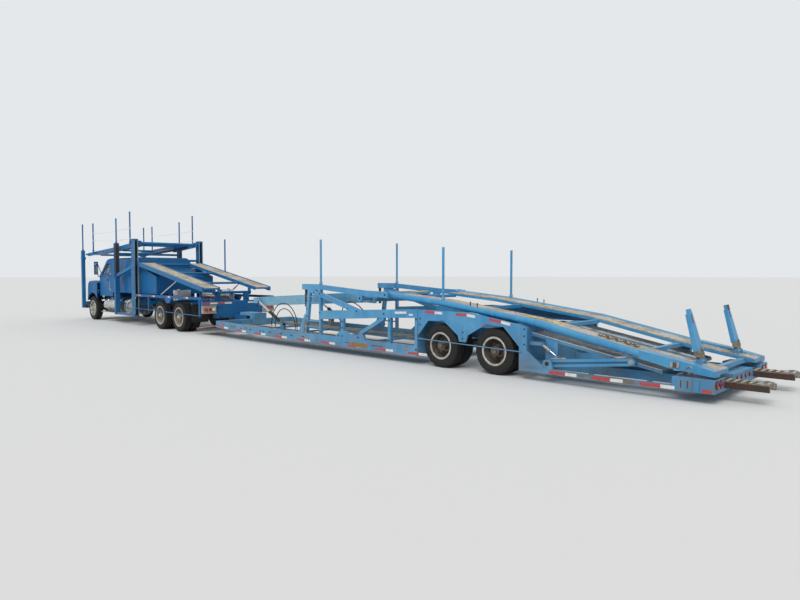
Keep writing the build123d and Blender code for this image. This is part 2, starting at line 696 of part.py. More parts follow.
def truck_ramp():
    """Sloping ramp over the drive wheels: two runways between rails, hinged at its rear."""
    line = [(ramp_rear, ramp_top(ramp_rear)), (ramp_front, ramp_top(ramp_front))]
    rail_y = (ramp_out_y - 70, ramp_out_y)
    left = [ribbon(line, -25, 75, (630, rail_y[0] + 10)), ribbon(line, 0, 130, rail_y),
            ribbon(line, 0, 100, (600, 640)),
            cross_rod(ramp_pivot[0], ramp_pivot[1], (600, 640), 75),
            block((10840, 10960), (600, 640), (ramp_pivot[1], 1400)),
            block((ramp_front - 20, ramp_front + 80), (rail_y[0] + 10, rail_y[1] - 5), (2110, 2190))]
    for x in (11500, 13200, 14900):
        left.append(cross_rod(x, ramp_top(x) - 55, (-10, 610), 35))
    parts = []
    for piece in left:
        parts.append(piece)
        parts.append(mirror(piece, about=Plane.XZ))
    pole_y = ramp_out_y - 35
    parts.append(rod((13320, -pole_y, ramp_top(13320) - 60), (13320, -pole_y, 3020), pole_radius))
    bore = cross_rod(ramp_pivot[0], ramp_pivot[1], (-700, 700), 40 + bore_gap)
    return joined(parts) - bore


def rear_lamps():
    """Lamp boxes under the ends of the rear beam."""
    box_y = (stinger_block_half + lamp_box_gap, half_width - 55)
    return both_sides(block((10440, 10540), box_y, (630, 860)))


def mudflaps():
    """Rubber flaps behind the drive wheels."""
    return both_sides(block((11124, 11136), (690, dual_face_y), (330, 880)))


# Trailer structure
def side_truss():
    """Left side of the trailer: bottom rail, posts, ladder, mid beam, fender plate and rear rail."""
    y = (truss_in_y, truss_out_y)
    parts = [side_plate([(9600, 470), (8400, 430), (3300, 375), (1800, 375), (1800, 180), (5820, 185),
                         (8410, 225), (9600, 285)], y),
             bar((5430, 330), (5275, 1450), 95, y),
             side_plate([(5700, 400), (5500, 400), (5330, 850), (5440, 850)], y),
             block((4840, 4900), y, (380, 1450)),
             block((4890, 5540), (truss_in_y - 20, truss_out_y), (1430, 1560)),
             side_plate([(5000, 1560), (3370, 1445), (2640, 1420), (2640, 1300), (3370, 1330), (5000, 1450)],
                        y),
             bar((5240, 1420), (3500, 960), 105, y),
             side_plate([(4880, 950), (2490, 1070), (1800, 1100), (1800, 930), (2490, 900), (4880, 750)], y),
             block((4040, 4110), y, (370, 810)),
             block((2550, 2630), y, (360, 920)),
             bar((3480, 520), (2760, 880), 80, y),
             side_plate([(4360, 370), (4140, 540), (4000, 540), (3880, 470), (3580, 470), (3440, 560),
                         (3340, 370)], y),
             block((1800, 1870), y, (200, 1100)),
             side_plate([(1870, 1100), (500, 1090), (-600, 930), (-700, 900), (-700, 500), (-1080, 215),
                         (-1080, 150), (-550, 150), (-550, 550), (-230, 870), (140, 900), (560, 670),
                         (600, 540), (760, 540), (790, 650), (1140, 910), (1530, 890), (1800, 580),
                         (1870, 580)],
                        (fender_in_y, fender_out_y)),
             block((-700, -620), (truss_in_y, fender_in_y + 5), (150, 905)),
             block((-3120, -620), y, (150, 215)),
             side_plate([(-960, 200), (-1200, 200), (-1140, 370), (-1020, 370)], (truss_in_y, fender_in_y)),
             cross_rod(arm_pivot[0], arm_pivot[1], (arm_in_y - arm_gap, truss_in_y + 10), 25),
             cross_rod(rear_deck_pivot[0], rear_deck_pivot[1], (truss_in_y - 100, truss_out_y), 35),
             side_plate([(3600, 1400), (3580, 1230), (3500, 1190), (3420, 1230), (3400, 1400)], y),
             rod((1835, truss_out_y - 6, 530), (-600, truss_out_y - 6, 468), 10),
             rod((4870, truss_out_y - 40, 1540), (4870, truss_out_y - 40, 2590), pole_radius)]
    for z in (560, 700, 1120, 1270):
        parts.append(block((4890, 5400), (truss_in_y + 20, truss_out_y - 20), (z - 15, z + 15)))
    return joined(parts)


def floor_top(x):
    return 250 + (x - 1900) * 0.0126


def on_floor(x, y, top):
    """Upright block that stands on the sloping floor."""
    return side_plate([(x[0], floor_top(x[0])), (x[1], floor_top(x[1])), (x[1], top), (x[0], top)], y)


# Where the hydraulic hoses leave their blocks: the sides of both hoses and the blocks' stations and heights
hose_y = (truss_in_y - 115, truss_in_y - 75)
hose_radius = 11
floor_block_y = (hose_y[0] - 30, hose_y[1] + 30)
floor_block_top = 400
floor_blocks = [(6880, 7080), (5900, 6130)]
beam_block_y = (hose_y[1] - 30, truss_in_y)
beam_blocks = [((4200, 4290), (800, 870)), ((3520, 3610), (900, 980))]


def hydraulic_hoses():
    """Two nested hose loops behind the front deck's left cylinder and one smaller loop at the mid beam."""
    top = floor_block_top
    inner, outer = hose_y
    first_low, last_low = (heights[1] for stations, heights in beam_blocks)
    routes = [  # side, then stations and heights, upright at both ends
        (outer, [(7040, top), (7040, 590), (6985, 800), (6815, 985), (6565, 1075), (6300, 1040), (6095, 895),
                 (5955, 680), (5955, top)]),
        (inner, [(6935, top), (6935, 560), (6870, 750), (6720, 890), (6510, 935), (6300, 870), (6150, 715),
                 (6080, 545), (6080, top)]),
        (outer, [(4245, first_low), (4245, 1000), (4180, 1110), (4050, 1170), (3900, 1175), (3750, 1130),
                 (3620, 1060), (3565, 1000), (3565, last_low)])]
    hoses = []
    for side, route in routes:
        points = [Vector(x, side, z) for x, z in route]
        radii = []
        for before, at, after in zip(points, points[1:], points[2:]):
            turn = (at - before).get_angle(after - at)
            run = min((at - before).length, (after - at).length)
            radii.append(0.45 * run / math.tan(math.radians(turn / 2)))
        path = FilletPolyline(*points, radius=radii)
        section = Plane(origin=path @ 0, z_dir=path % 0) * Circle(hose_radius)
        hoses.append(sweep(section, path=path))
    return Part() + hoses


# Cross walls in front of and behind the wheels, and the nose beam that ends the floor
front_wall = (1800, 1860)
rear_wall = (-660, -610)
nose_beam = (9450, 9600)
floor_in_y = 450
lower_ramp_line = [(rear_wall[0], 786), (-2900, 365)]
lower_ramp_deep = 45
tail_end = -3690
tail_y = (490, 890)
tail_plate = (172, 190)
tail_web = 14
tail_web_top = 310


def lower_ramp_under(x):
    return line_height(lower_ramp_line, x) - lower_ramp_deep


def trailer_frame():
    """Floor pans and cross beams, nose with its kingpin, wheel frame, lower ramp and tail rails."""
    web_in = (tail_y[0], tail_y[0] + tail_web)
    web_out = (tail_y[1] - tail_web, tail_y[1])
    tail_x = (tail_end, rear_wall[0])
    floor = [(x, floor_top(x)) for x in (front_wall[1], nose_beam[0])]
    left = [ribbon(floor, 0, 45, (floor_in_y, truss_in_y)),
            block((rear_wall[1], front_wall[0]), (480, 560), (560, 760)),
            block((rear_wall[1], front_wall[0]), (715, fender_in_y), (888, 905)),
            ribbon(lower_ramp_line, 0, lower_ramp_deep, (640, lower_ramp_out_y)),
            ribbon([(x, line_height(lower_ramp_line, x) - 20) for x in (-950, -1180)], 0, 420,
                   (lower_ramp_out_y, lower_ramp_out_y + lower_ramp_cheek)),
            block(tail_x, tail_y, tail_plate),
            block(tail_x, web_in, (tail_plate[1], tail_web_top)),
            block(tail_x, web_out, (tail_plate[1], tail_web_top)),
            side_plate([(-2880, tail_web_top), (-2820, tail_web_top), (-2820, lower_ramp_under(-2820)),
                        (-2880, lower_ramp_under(-2880))], (640, tail_y[1])),
            on_floor((6710, 6800), (932, 947), 560),
            on_floor((6710, 6800), (1033, 1048), 560)]
    for side in (-1, 1):
        cheek = arm_cylinder["y"] + side * 32.5
        left.append(block((-950, rear_wall[0]), (cheek - 7.5, cheek + 7.5), (590, 650)))
    parts = []
    for piece in left:
        parts.append(piece)
        parts.append(mirror(piece, about=Plane.XZ))
    across = (-truss_in_y, truss_in_y)
    parts.append(block(front_wall, across, (190, 905)))
    parts.append(block(rear_wall, across, (160, 905)))
    for x in (8100, 6700, 5300, 3900, 2500):
        heights = (floor_top(x) - 43, floor_top(x) - 3)
        parts.append(block((x - 40, x + 40), (-floor_in_y, floor_in_y), heights))
    for x in (-2630, -1670):
        parts.append(block((x - 30, x + 30), (-tail_y[1], tail_y[1]), (155, tail_plate[0])))
    for stations in floor_blocks:
        parts.append(on_floor(stations, floor_block_y, floor_block_top))
    for stations, heights in beam_blocks:
        parts.append(block(stations, beam_block_y, heights))
    parts.append(cross_rod(front_deck_pivot[0], front_deck_pivot[1], across, 45))
    # Nose: its beam, the tongue plate over the stinger and the kingpin under it
    parts.append(joined([block(nose_beam, across, (285, 470)), block((9300, 9560), (-200, 200), (330, 600)),
                         block((9300, 10100), (-200, 200), (tongue_top + 1, 650)),
                         rod((pivot_at, 0, 425), (pivot_at, 0, 600), kingpin_radius)]))
    return Compound([piece.solid() for piece in parts])


def nose_plates():
    """Loading plates that bridge from the trailer's nose to the ground."""
    plate = side_plate([(9600, 300), (9600, 330), (10900, 165), (10900, 140)], (600, truss_in_y))
    return both_sides(plate)


def trailer_axles():
    """Two axle tubes on leaf springs hung from the wheel frame."""
    reach = drum_end(trailer_tyre_spacing, trailer_tyre_width) - seat_gap
    z = trailer_tyre_radius
    shape = Part()
    for x in trailer_axles_at:
        pieces = [cross_rod(x, z, (-reach, reach), 62)]
        for side in (1, -1):
            ys = sorted((side * 490, side * 550))
            pieces.append(leaf_pack(x, z + 50, 480, z + 90, 35, ys))
            for end in (-480, 480):
                pieces.append(block((x + end - 30, x + end + 30), ys, (z + 85, 560)))
        shape = shape + pieces
    return shape


def rear_bumper():
    """Boxes at the trailer's tail on both sides of the skids."""
    stations = (tail_end, -3120)
    left = [block(stations, (895, truss_out_y), (150, 340)),
            block(stations, (0, 484), (150, 340)),
            block(stations, (0, 900), (150, tail_plate[0] - 1))]
    parts = []
    for piece in left:
        parts.append(piece)
        parts.append(mirror(piece, about=Plane.XZ))
    shape = joined(parts)
    for side in (1, -1):
        start = (tie_hole_x, side * tie_hole_y, 100)
        shape = shape - rod(start, (tie_hole_x, side * tie_hole_y, 400), tie_hole_radius)
    return shape


def skid():
    """Left loading skid: two side bars with ribs across, a hook plate at its tip."""
    parts = [block((skid_tip, -2950), (510, 545), (190 + seat_gap, 280)),
             block((skid_tip, -2950), (835, 870), (190 + seat_gap, 280))]
    for i in range(13):
        x = skid_tip + 50 + 100 * i
        parts.append(block((x - 22, x + 22), (540, 840), (230, 292)))
    return joined(parts)


# Trailer decks
def front_deck():
    """Front upper deck: side beams and runways hinged at the rear on a cross tube."""
    line = [(3420, 1390), (3650, 1400), (7950, 1180)]
    left = [ribbon(line, 0, 235, (850, 930)),
            ribbon(line, -15, 65, (420, 860)),
            cross_rod(front_deck_pivot[0], front_deck_pivot[1], (850, 930), 100),
            block((7800, 8020), (925, 945), (1020, 1160)),
            block((7990, 8020), (925, 1050), (1020, 1160)),
            block((7830, 8020), (1035, 1050), (1020, 1160))]
    for x in (4200, 6100, 7850):
        left.append(cross_rod(x, line_height(line, x) - 70, (-10, 440), 36))
    parts = []
    for piece in left:
        parts.append(piece)
        parts.append(mirror(piece, about=Plane.XZ))
    bore = cross_rod(front_deck_pivot[0], front_deck_pivot[1], (-1000, 1000), 45 + bore_gap)
    return joined(parts) - bore


def point_between(start, end, part_way):
    """Point on the line from start to end, at a distance from start."""
    a = Vector(*start)
    run = Vector(*end) - a
    return a + run.normalized() * part_way


def cylinder_pair(base, eye, y, radius, bore, barrel_length, rod_inside, eye_width, eye_radius):
    """Barrel and rod of a cylinder between two (station, height) points, each with its eye."""
    start = (base[0], y, base[1])
    end = (eye[0], y, eye[1])
    tube_end = point_between(start, end, barrel_length)
    eye_y = (y - eye_width / 2, y + eye_width / 2)
    barrel = joined([rod(start, tuple(tube_end), radius), cross_rod(base[0], base[1], eye_y, eye_radius)])
    hole_start = point_between(start, end, eye_radius + 20)
    hole_end = point_between(start, end, barrel_length + 20)
    barrel = barrel - rod(tuple(hole_start), tuple(hole_end), bore + bore_gap)
    rod_start = point_between(start, end, rod_inside)
    ram = joined([rod(tuple(rod_start), end, bore), cross_rod(eye[0], eye[1], eye_y, eye_radius)])
    return barrel, ram


front_cylinder = dict(base=(6755, 510), eye=(7900, 1090), y=990, radius=42, bore=28, barrel_length=680,
                      rod_inside=100, eye_width=85.4, eye_radius=36)
arm_cylinder = dict(base=(-900, 620), eye=(-1200, 430), y=arm_out_y - 53, radius=24, bore=15,
                    barrel_length=200, rod_inside=170, eye_width=49.4, eye_radius=27)


rear_deck_line = [(2780, 1365), (1290, 1240), (-870, 960), (-2630, 590), (-3670, 420)]
rear_rail_radius = 62
rear_rail_y = truss_in_y - 10 - rear_rail_radius


def rear_deck():
    """Long rear deck: tube rails, ribbed runways and the tail with its hinge lugs."""
    out_y = rear_rail_y + rear_rail_radius
    left = [cross_rod(rear_deck_pivot[0], rear_deck_pivot[1], (truss_in_y - 95, out_y), 80),
            ribbon([(2600, line_height(rear_deck_line, 2600))] + rear_deck_line[1:], 25, 30,
                   (640, rear_rail_y))]
    rail_points = rear_deck_line[:4]
    for (x0, z0), (x1, z1) in zip(rail_points, rail_points[1:]):
        left.append(rod((x0, rear_rail_y, z0), (x1, rear_rail_y, z1), rear_rail_radius))
    for x, z in rail_points[1:]:
        left.append(Pos(x, rear_rail_y, z) * Sphere(rear_rail_radius))
    left = left + [
            side_plate([(-2600, 660), (-3200, 560), (-3670, 450), (-3670, 365), (-3100, 430), (-2600, 540)],
                       (1000, out_y)),
            rod((1260, rear_rail_y, 1260), (1260, rear_rail_y, 2310), pole_radius)]
    for x in (2450, 700, -1000, -2500, -3500):
        z = line_height(rear_deck_line, x)
        left.append(block((x - 45, x + 45), (0, 650), (z - 60, z + 5)))
    for y in ((738, 755), (945, 962)):
        left.append(side_plate([(-3300, 460), (-3430, 440), (-3400, 572), (-3340, 572)], y))
    left.append(cross_rod(flipper_pivot[0], flipper_pivot[1], (738, 962), 12))
    parts = []
    for piece in left:
        parts.append(piece)
        parts.append(mirror(piece, about=Plane.XZ))
    bore = cross_rod(rear_deck_pivot[0], rear_deck_pivot[1], (-1300, 1300), 35 + bore_gap)
    return joined(parts) - bore


def flipper():
    """Left upright flap: a tapered plate on a hinge barrel."""
    base = Vector(flipper_pivot[0], 850, flipper_pivot[1])
    lean = Vector(200, 0, 755).normalized()
    plane = Plane(origin=base, x_dir=(0, 1, 0), z_dir=Vector(0, 1, 0).cross(lean))
    sketch = make_face(Polyline((-85, 0), (85, 0), (85, 60), (118, 150), (62, 700), (40, 770), (-40, 770),
                                (-62, 700), (-118, 150), (-85, 60), close=True))
    plate = extrude(plane * sketch, amount=22, both=True)
    barrel = cross_rod(flipper_pivot[0], flipper_pivot[1], (760, 940), 28)
    bore = cross_rod(flipper_pivot[0], flipper_pivot[1], (700, 1000), 12 + bore_gap)
    return joined([plate, barrel]) - bore


def lift_arms():
    """Lift arm: two bars one above the other from its pivot to the roller under the deck."""
    start = arm_pivot
    end = (-2480, 465)
    y = (arm_in_y, arm_out_y)
    left = [bar((start[0], start[1] + 42), (end[0], end[1] + 36), 44, y),
            bar((start[0], start[1] - 42), (end[0], end[1] - 36), 44, y),
            cross_rod(start[0], start[1], y, 68),
            cross_rod(end[0], end[1], y, 56)]
    for side in (-1, 1):
        cheek = arm_cylinder["y"] + side * 38
        left.append(side_plate([(-1160, 380), (-1240, 390), (-1225, 450), (-1175, 450)],
                               (cheek - 9, cheek + 9)))
    bore = cross_rod(start[0], start[1], (1000, 1300), 25 + bore_gap)
    return both_sides(joined(left) - bore)


def build_nodes():
    nodes = {
        "truck_frame": truck_frame(), "engine_block": engine_block(), "truck_axles": truck_axles(),
        "cab_shell": cab_shell(), "sleeper_shell": sleeper_shell(), "cab_glass": cab_glass(),
        "cab_interior": cab_interior(), "front_bumper": front_bumper(), "fuel_tanks": fuel_tanks(),
        "headrack_frame": headrack_frame(), "rear_lamps": rear_lamps(), "mudflaps": mudflaps(),
        "hood_shell": hood_shell(), "headlamps": headlamps(),
        "cab_deck": cab_deck(), "truck_ramp": truck_ramp(),
        "trailer_frame": trailer_frame(), "nose_plates": nose_plates(), "trailer_axles": trailer_axles(),
        "rear_bumper": rear_bumper(), "front_deck": front_deck(), "rear_deck": rear_deck(),
        "lift_arms": lift_arms(), "hydraulic_hoses": hydraulic_hoses()}
    sided = {"door": door_left(), "door_glass": door_left_glass(), "knuckle": knuckle(),
             "truss": side_truss(), "flipper": flipper(), "skid": skid()}
    for name, shape in sided.items():
        nodes[f"{name}_left"] = shape
        nodes[f"{name}_right"] = mirror(shape, about=Plane.XZ)
    for name, values in (("front_deck", front_cylinder), ("arm", arm_cylinder)):
        barrel, ram = cylinder_pair(**values)
        nodes[f"{name}_barrels"] = both_sides(barrel)
        nodes[f"{name}_rods"] = both_sides(ram)
    nodes.update(wheel_nodes())
    return nodes


os.makedirs("parts", exist_ok=True)
to_origin = Pos(-middle_station, 0, 0)
for node, shape in build_nodes().items():
    export_step(to_origin * shape, f"parts/{node}.step")
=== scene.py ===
"""Looks of the car transporter: a blue head-rack truck with its pale blue trailer, decks lowered.

Sizes are metres in the frame of the model: X runs forward, Y to the left and Z up. A form's points are
(station, side, height), with the station counted forward from the trailer's rear axle. Pieces.made() and at()
turn it into X.
"""
import bpy
import bmesh
import math
import random
from mathutils import Matrix, Vector


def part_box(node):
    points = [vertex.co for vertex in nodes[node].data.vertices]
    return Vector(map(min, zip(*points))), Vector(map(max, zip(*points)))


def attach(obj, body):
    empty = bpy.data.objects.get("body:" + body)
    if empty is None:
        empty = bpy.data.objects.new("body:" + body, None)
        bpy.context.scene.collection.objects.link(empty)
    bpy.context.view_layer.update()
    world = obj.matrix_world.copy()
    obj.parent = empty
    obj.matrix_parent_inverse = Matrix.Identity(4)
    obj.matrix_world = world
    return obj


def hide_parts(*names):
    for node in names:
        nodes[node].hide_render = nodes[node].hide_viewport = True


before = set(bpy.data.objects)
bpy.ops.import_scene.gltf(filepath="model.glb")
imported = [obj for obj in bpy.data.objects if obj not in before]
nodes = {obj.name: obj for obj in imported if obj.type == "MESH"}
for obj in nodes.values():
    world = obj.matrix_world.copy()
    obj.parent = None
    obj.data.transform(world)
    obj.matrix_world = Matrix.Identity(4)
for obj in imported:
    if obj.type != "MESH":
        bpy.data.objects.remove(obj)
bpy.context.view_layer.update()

trailer_axle_low, trailer_axle_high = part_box("tyre_trailer_rear_left")
rear_axle_x = (trailer_axle_low.x + trailer_axle_high.x) / 2


def at(station):
    """X of a station counted forward from the trailer's rear axle."""
    return rear_axle_x + station


# Camera: the photograph's place and lens, 1.79 m above the ground behind the trailer's left side
camera_station = -6.5
camera_side = 10.27
camera_height = 1.786
camera_heading = math.radians(44.34)
camera_pitch = math.radians(2.35)
frame_width = 800
focal_pixels = 622.4

camera_data = bpy.data.cameras.new("camera")
sensor_width = 36.0
camera_data.sensor_width = sensor_width
camera_data.lens = sensor_width * focal_pixels / frame_width
camera_data.clip_end = 2000.0
camera = bpy.data.objects.new("camera", camera_data)
bpy.context.scene.collection.objects.link(camera)
camera.location = (at(camera_station), camera_side, camera_height)
camera.rotation_euler = (math.pi / 2 - camera_pitch, 0.0, camera_heading - math.pi)
bpy.context.scene.camera = camera


# Materials
def srgb(code):
    """Linear colour of an sRGB hex code."""
    parts = [int(code[i:i + 2], 16) / 255 for i in (1, 3, 5)]
    return tuple([c / 12.92 if c <= 0.04045 else ((c + 0.055) / 1.055) ** 2.4 for c in parts] + [1.0])


def add_node(tree, kind, values=None, links=None, **settings):
    """Adds a node with its settings, its input values and its links from (node, output) pairs."""
    node = tree.nodes.new(kind)
    for name, value in settings.items():
        setattr(node, name, value)
    for name, value in (values or {}).items():
        node.inputs[name].default_value = value
    for name, (source, output) in (links or {}).items():
        tree.links.new(source.outputs[output], node.inputs[name])
    return node


def feed(tree, node, socket, source):
    """Links a (node, output) pair to a node's socket."""
    tree.links.new(source[0].outputs[source[1]], node.inputs[socket])


def new_material(name, **shader_values):
    """A material with its shader, the shader's tree and the coordinates that its patterns use."""
    material = bpy.data.materials.new(name)
    material.use_nodes = True
    tree = material.node_tree
    shader = tree.nodes["Principled BSDF"]
    for key, value in shader_values.items():
        shader.inputs[key.replace("_", " ")].default_value = value
    return material, tree, shader, (add_node(tree, "ShaderNodeTexCoord"), "Object")


def patches(tree, place, spacing, low, high, detail=6.0, stretch=None):
    """Soft-edged patches from 0 to 1, with their spacing in metres."""
    if stretch:
        place = (add_node(tree, "ShaderNodeMapping", {"Scale": stretch}, {"Vector": place}), "Vector")
    noise = add_node(tree, "ShaderNodeTexNoise", {"Scale": 1 / spacing, "Detail": detail, "Roughness": 0.6},
                     {"Vector": place})
    spread = add_node(tree, "ShaderNodeMapRange", {"From Min": low, "From Max": high},
                      {"Value": (noise, "Fac")}, interpolation_type="SMOOTHSTEP")
    return (spread, "Result")


def blended(tree, under, over, mask, strength=1.0):
    """Colour over another where the mask says. Each colour is an sRGB code or a (node, output) pair."""
    share = add_node(tree, "ShaderNodeMath", {1: strength}, {0: mask}, operation="MULTIPLY")
    mix = add_node(tree, "ShaderNodeMix", None, {"Factor": (share, "Value")}, data_type="RGBA",
                   clamp_factor=True)
    for socket, colour in ((6, under), (7, over)):
        if isinstance(colour, str):
            mix.inputs[socket].default_value = srgb(colour)
        else:
            feed(tree, mix, socket, colour)
    return (mix, 2)


def edge_mask(tree, place, width, spacing):
    """Where paint is rubbed off: near the edges of plates, broken up by patches."""
    rounded = add_node(tree, "ShaderNodeBevel", {"Radius": width}, samples=4)
    flat = add_node(tree, "ShaderNodeNewGeometry")
    turn = add_node(tree, "ShaderNodeVectorMath", None, {0: (rounded, "Normal"), 1: (flat, "Normal")},
                    operation="DOT_PRODUCT")
    edge = add_node(tree, "ShaderNodeMapRange", {"From Min": 0.995, "From Max": 0.93},
                    {"Value": (turn, "Value")})
    broken = patches(tree, place, spacing, 0.47, 0.6)
    both = add_node(tree, "ShaderNodeMath", None, {0: (edge, "Result"), 1: broken}, operation="MULTIPLY")
    return (both, "Value")


def height_mask(tree, source, none, full):
    """How far the height of a (node, output) vector has come from none to full."""
    split = add_node(tree, "ShaderNodeSeparateXYZ", None, {0: source})
    share = add_node(tree, "ShaderNodeMapRange", {"From Min": none, "From Max": full},
                     {"Value": (split, "Z")})
    return (share, "Result")


def give_relief(tree, shader, height, strength, depth):
    """Relief of the surface from a (node, output) pair, with its depth in metres."""
    bump = add_node(tree, "ShaderNodeBump", {"Strength": strength, "Distance": depth}, {"Height": height})
    feed(tree, shader, "Normal", (bump, "Normal"))


def give_grain(tree, shader, place, spacing, depth):
    """Fine relief in patches: its spacing and its depth in metres."""
    noise = add_node(tree, "ShaderNodeTexNoise", {"Scale": 1 / spacing, "Detail": 4.0},
                     {"Vector": place})
    give_relief(tree, shader, (noise, "Fac"), 0.6, depth)


def give_roughness(tree, shader, mask, smooth, rough):
    """Roughness from smooth, where the mask is 0, to rough, where it is 1."""
    spread = add_node(tree, "ShaderNodeMapRange", {"To Min": smooth, "To Max": rough}, {"Value": mask})
    feed(tree, shader, "Roughness", (spread, "Result"))


def stain_mask(tree, place, centre, reach):
    """Soft stain, broken up, that fades out at its reach along each axis from the centre."""
    offset = add_node(tree, "ShaderNodeVectorMath", {1: centre}, {0: place}, operation="SUBTRACT")
    shares = add_node(tree, "ShaderNodeVectorMath", {1: reach}, {0: (offset, "Vector")}, operation="DIVIDE")
    away = add_node(tree, "ShaderNodeVectorMath", None, {0: (shares, "Vector")}, operation="LENGTH")
    near = add_node(tree, "ShaderNodeMapRange", {"From Min": 1.0, "From Max": 0.55},
                    {"Value": (away, "Value")}, interpolation_type="SMOOTHSTEP")
    broken = patches(tree, place, 0.07, 0.3, 0.58)
    both = add_node(tree, "ShaderNodeMath", None, {0: (near, "Result"), 1: broken}, operation="MULTIPLY")
    return (both, "Value")


road_dirt, edge_rust, spot_rust = "#6B655A", "#6A4A36", "#75492F"
stain_strength = 0.85


def old_enamel(name, paint, faded, dust, fade_share, rust_share, dirt_share, gloss, stains=(), shine=0.5):
    """Sprayed alkyd enamel on steel: clouded by sun, dusty on top, dirty low down, rusty where rubbed."""
    material, tree, shader, place = new_material(name, IOR=1.5, Specular_IOR_Level=shine)
    clouds = patches(tree, place, 0.9, 0.38, 0.66)
    streaks = patches(tree, place, 0.1, 0.42, 0.7, stretch=(1.0, 1.0, 0.18))
    colour = blended(tree, paint, faded, clouds, fade_share)
    colour = blended(tree, colour, faded, streaks, fade_share * 0.45)
    top = height_mask(tree, (add_node(tree, "ShaderNodeNewGeometry"), "Normal"), 0.3, 0.95)
    colour = blended(tree, colour, dust, top, 0.22)
    dirty = patches(tree, place, 0.35, 0.3, 0.75)
    low = height_mask(tree, place, 1.0, 0.1)
    grime = add_node(tree, "ShaderNodeMath", None, {0: dirty, 1: low}, operation="MULTIPLY")
    colour = blended(tree, colour, road_dirt, (grime, "Value"), dirt_share)
    worn = edge_mask(tree, place, 0.012, 0.16)
    colour = blended(tree, colour, edge_rust, worn, rust_share)
    spots = patches(tree, place, 0.22, 0.69, 0.74, detail=9.0)
    colour = blended(tree, colour, spot_rust, spots, rust_share)
    for centre, reach, stain in stains:
        colour = blended(tree, colour, stain, stain_mask(tree, place, centre, reach), stain_strength)
    feed(tree, shader, "Base Color", colour)
    give_roughness(tree, shader, clouds, gloss, gloss + 0.22)
    give_grain(tree, shader, place, 0.012, 0.0006)
    return material


def clouded(name, base, second, dark, metallic, smooth, rough, spacing, bump_height):
    """Metal, paint or plastic with a cloudy skin: two colours in patches and a dark one in small spots."""
    material, tree, shader, place = new_material(name, Metallic=metallic)
    clouds = patches(tree, place, spacing, 0.38, 0.64)
    fine = patches(tree, place, spacing / 6, 0.45, 0.72)
    colour = blended(tree, base, second, clouds)
    colour = blended(tree, colour, dark, fine, 0.6)
    feed(tree, shader, "Base Color", colour)
    give_roughness(tree, shader, clouds, smooth, rough)
    give_grain(tree, shader, place, spacing / 14, bump_height)
    return material


def tyre_rubber():
    """Carbon-black tyre rubber, moulded: matt, greyed by road dust in patches."""
    material, tree, shader, place = new_material("tyre_rubber", IOR=1.52)
    clouds = patches(tree, place, 0.12, 0.35, 0.7)
    colour = blended(tree, "#0E0E0F", "#211F1C", clouds, 0.7)
    fine = patches(tree, place, 0.02, 0.5, 0.75)
    colour = blended(tree, colour, "#3A3731", fine, 0.2)
    feed(tree, shader, "Base Color", colour)
    give_roughness(tree, shader, clouds, 0.72, 0.92)
    give_grain(tree, shader, place, 0.004, 0.0006)
    return material


def clear_plastic(name, colour, rough):
    """Moulded acrylic lens: glossy, with flutes 6 mm apart."""
    material, tree, shader, place = new_material(name, Base_Color=srgb(colour), IOR=1.49, Coat_Weight=0.6,
                                                 Roughness=rough)
    flutes = add_node(tree, "ShaderNodeTexWave", {"Scale": 1 / 0.02}, {"Vector": place},
                      bands_direction="Y")
    give_relief(tree, shader, (flutes, "Fac"), 0.5, 0.0015)
    return material


def window_glass():
    """Float glass, tinted: dark against the cab's inside, with a film of dust."""
    material, tree, shader, place = new_material("window_glass", Base_Color=srgb("#9FB0B4"), IOR=1.52,
                                                 Transmission_Weight=0.85)
    film = patches(tree, place, 0.25, 0.35, 0.75)
    give_roughness(tree, shader, film, 0.02, 0.14)
    return material


def beaded_tape(name, colour):
    """Retroreflective tape: glass beads under a clear film, with a honeycomb seal of 6 mm, soiled."""
    material, tree, shader, place = new_material(name, Coat_Weight=0.4, Roughness=0.4)
    cells = add_node(tree, "ShaderNodeTexVoronoi", {"Scale": 1 / 0.006}, {"Vector": place},
                     feature="DISTANCE_TO_EDGE")
    seal = add_node(tree, "ShaderNodeMapRange", {"From Max": 0.12, "To Min": 1.0, "To Max": 0.0},
                    {"Value": (cells, "Distance")})
    soil = patches(tree, place, 0.09, 0.45, 0.75)
    base = blended(tree, colour, "#8D8A82", (seal, "Result"), 0.25)
    base = blended(tree, base, "#7C756A", soil, 0.35)
    feed(tree, shader, "Base Color", base)
    return material


def webbing(name, colour):
    """Woven polyester webbing: matt and soiled, with ribs across the strap, about 4 mm apart."""
    material, tree, shader, place = new_material(name, Roughness=0.85, Sheen_Weight=0.3)
    weave = add_node(tree, "ShaderNodeTexWave", {"Scale": 1 / 0.012, "Distortion": 1.0},
                     {"Vector": place}, bands_direction="X")
    base = blended(tree, colour, "#8A7A30", (weave, "Fac"), 0.45)
    soil = patches(tree, place, 0.08, 0.4, 0.75)
    base = blended(tree, base, "#6F6A55", soil, 0.45)
    feed(tree, shader, "Base Color", base)
    give_relief(tree, shader, (weave, "Fac"), 0.7, 0.001)
    return material


truck_paint = old_enamel("truck_enamel", "#005A94", "#0872A6", "#2E5A6C", 0.3, 0.35, 0.3, 0.34, shine=0.28)
rack_paint = old_enamel("rack_enamel", "#0C5E96", "#2C80AD", "#567C8A", 0.5, 0.75, 0.5, 0.38, shine=0.35)
trailer_colours = ("#3886B8", "#69A7CA", "#83989F", 0.6, 0.8, 0.8, 0.38)
trailer_paint = old_enamel("trailer_enamel", *trailer_colours)
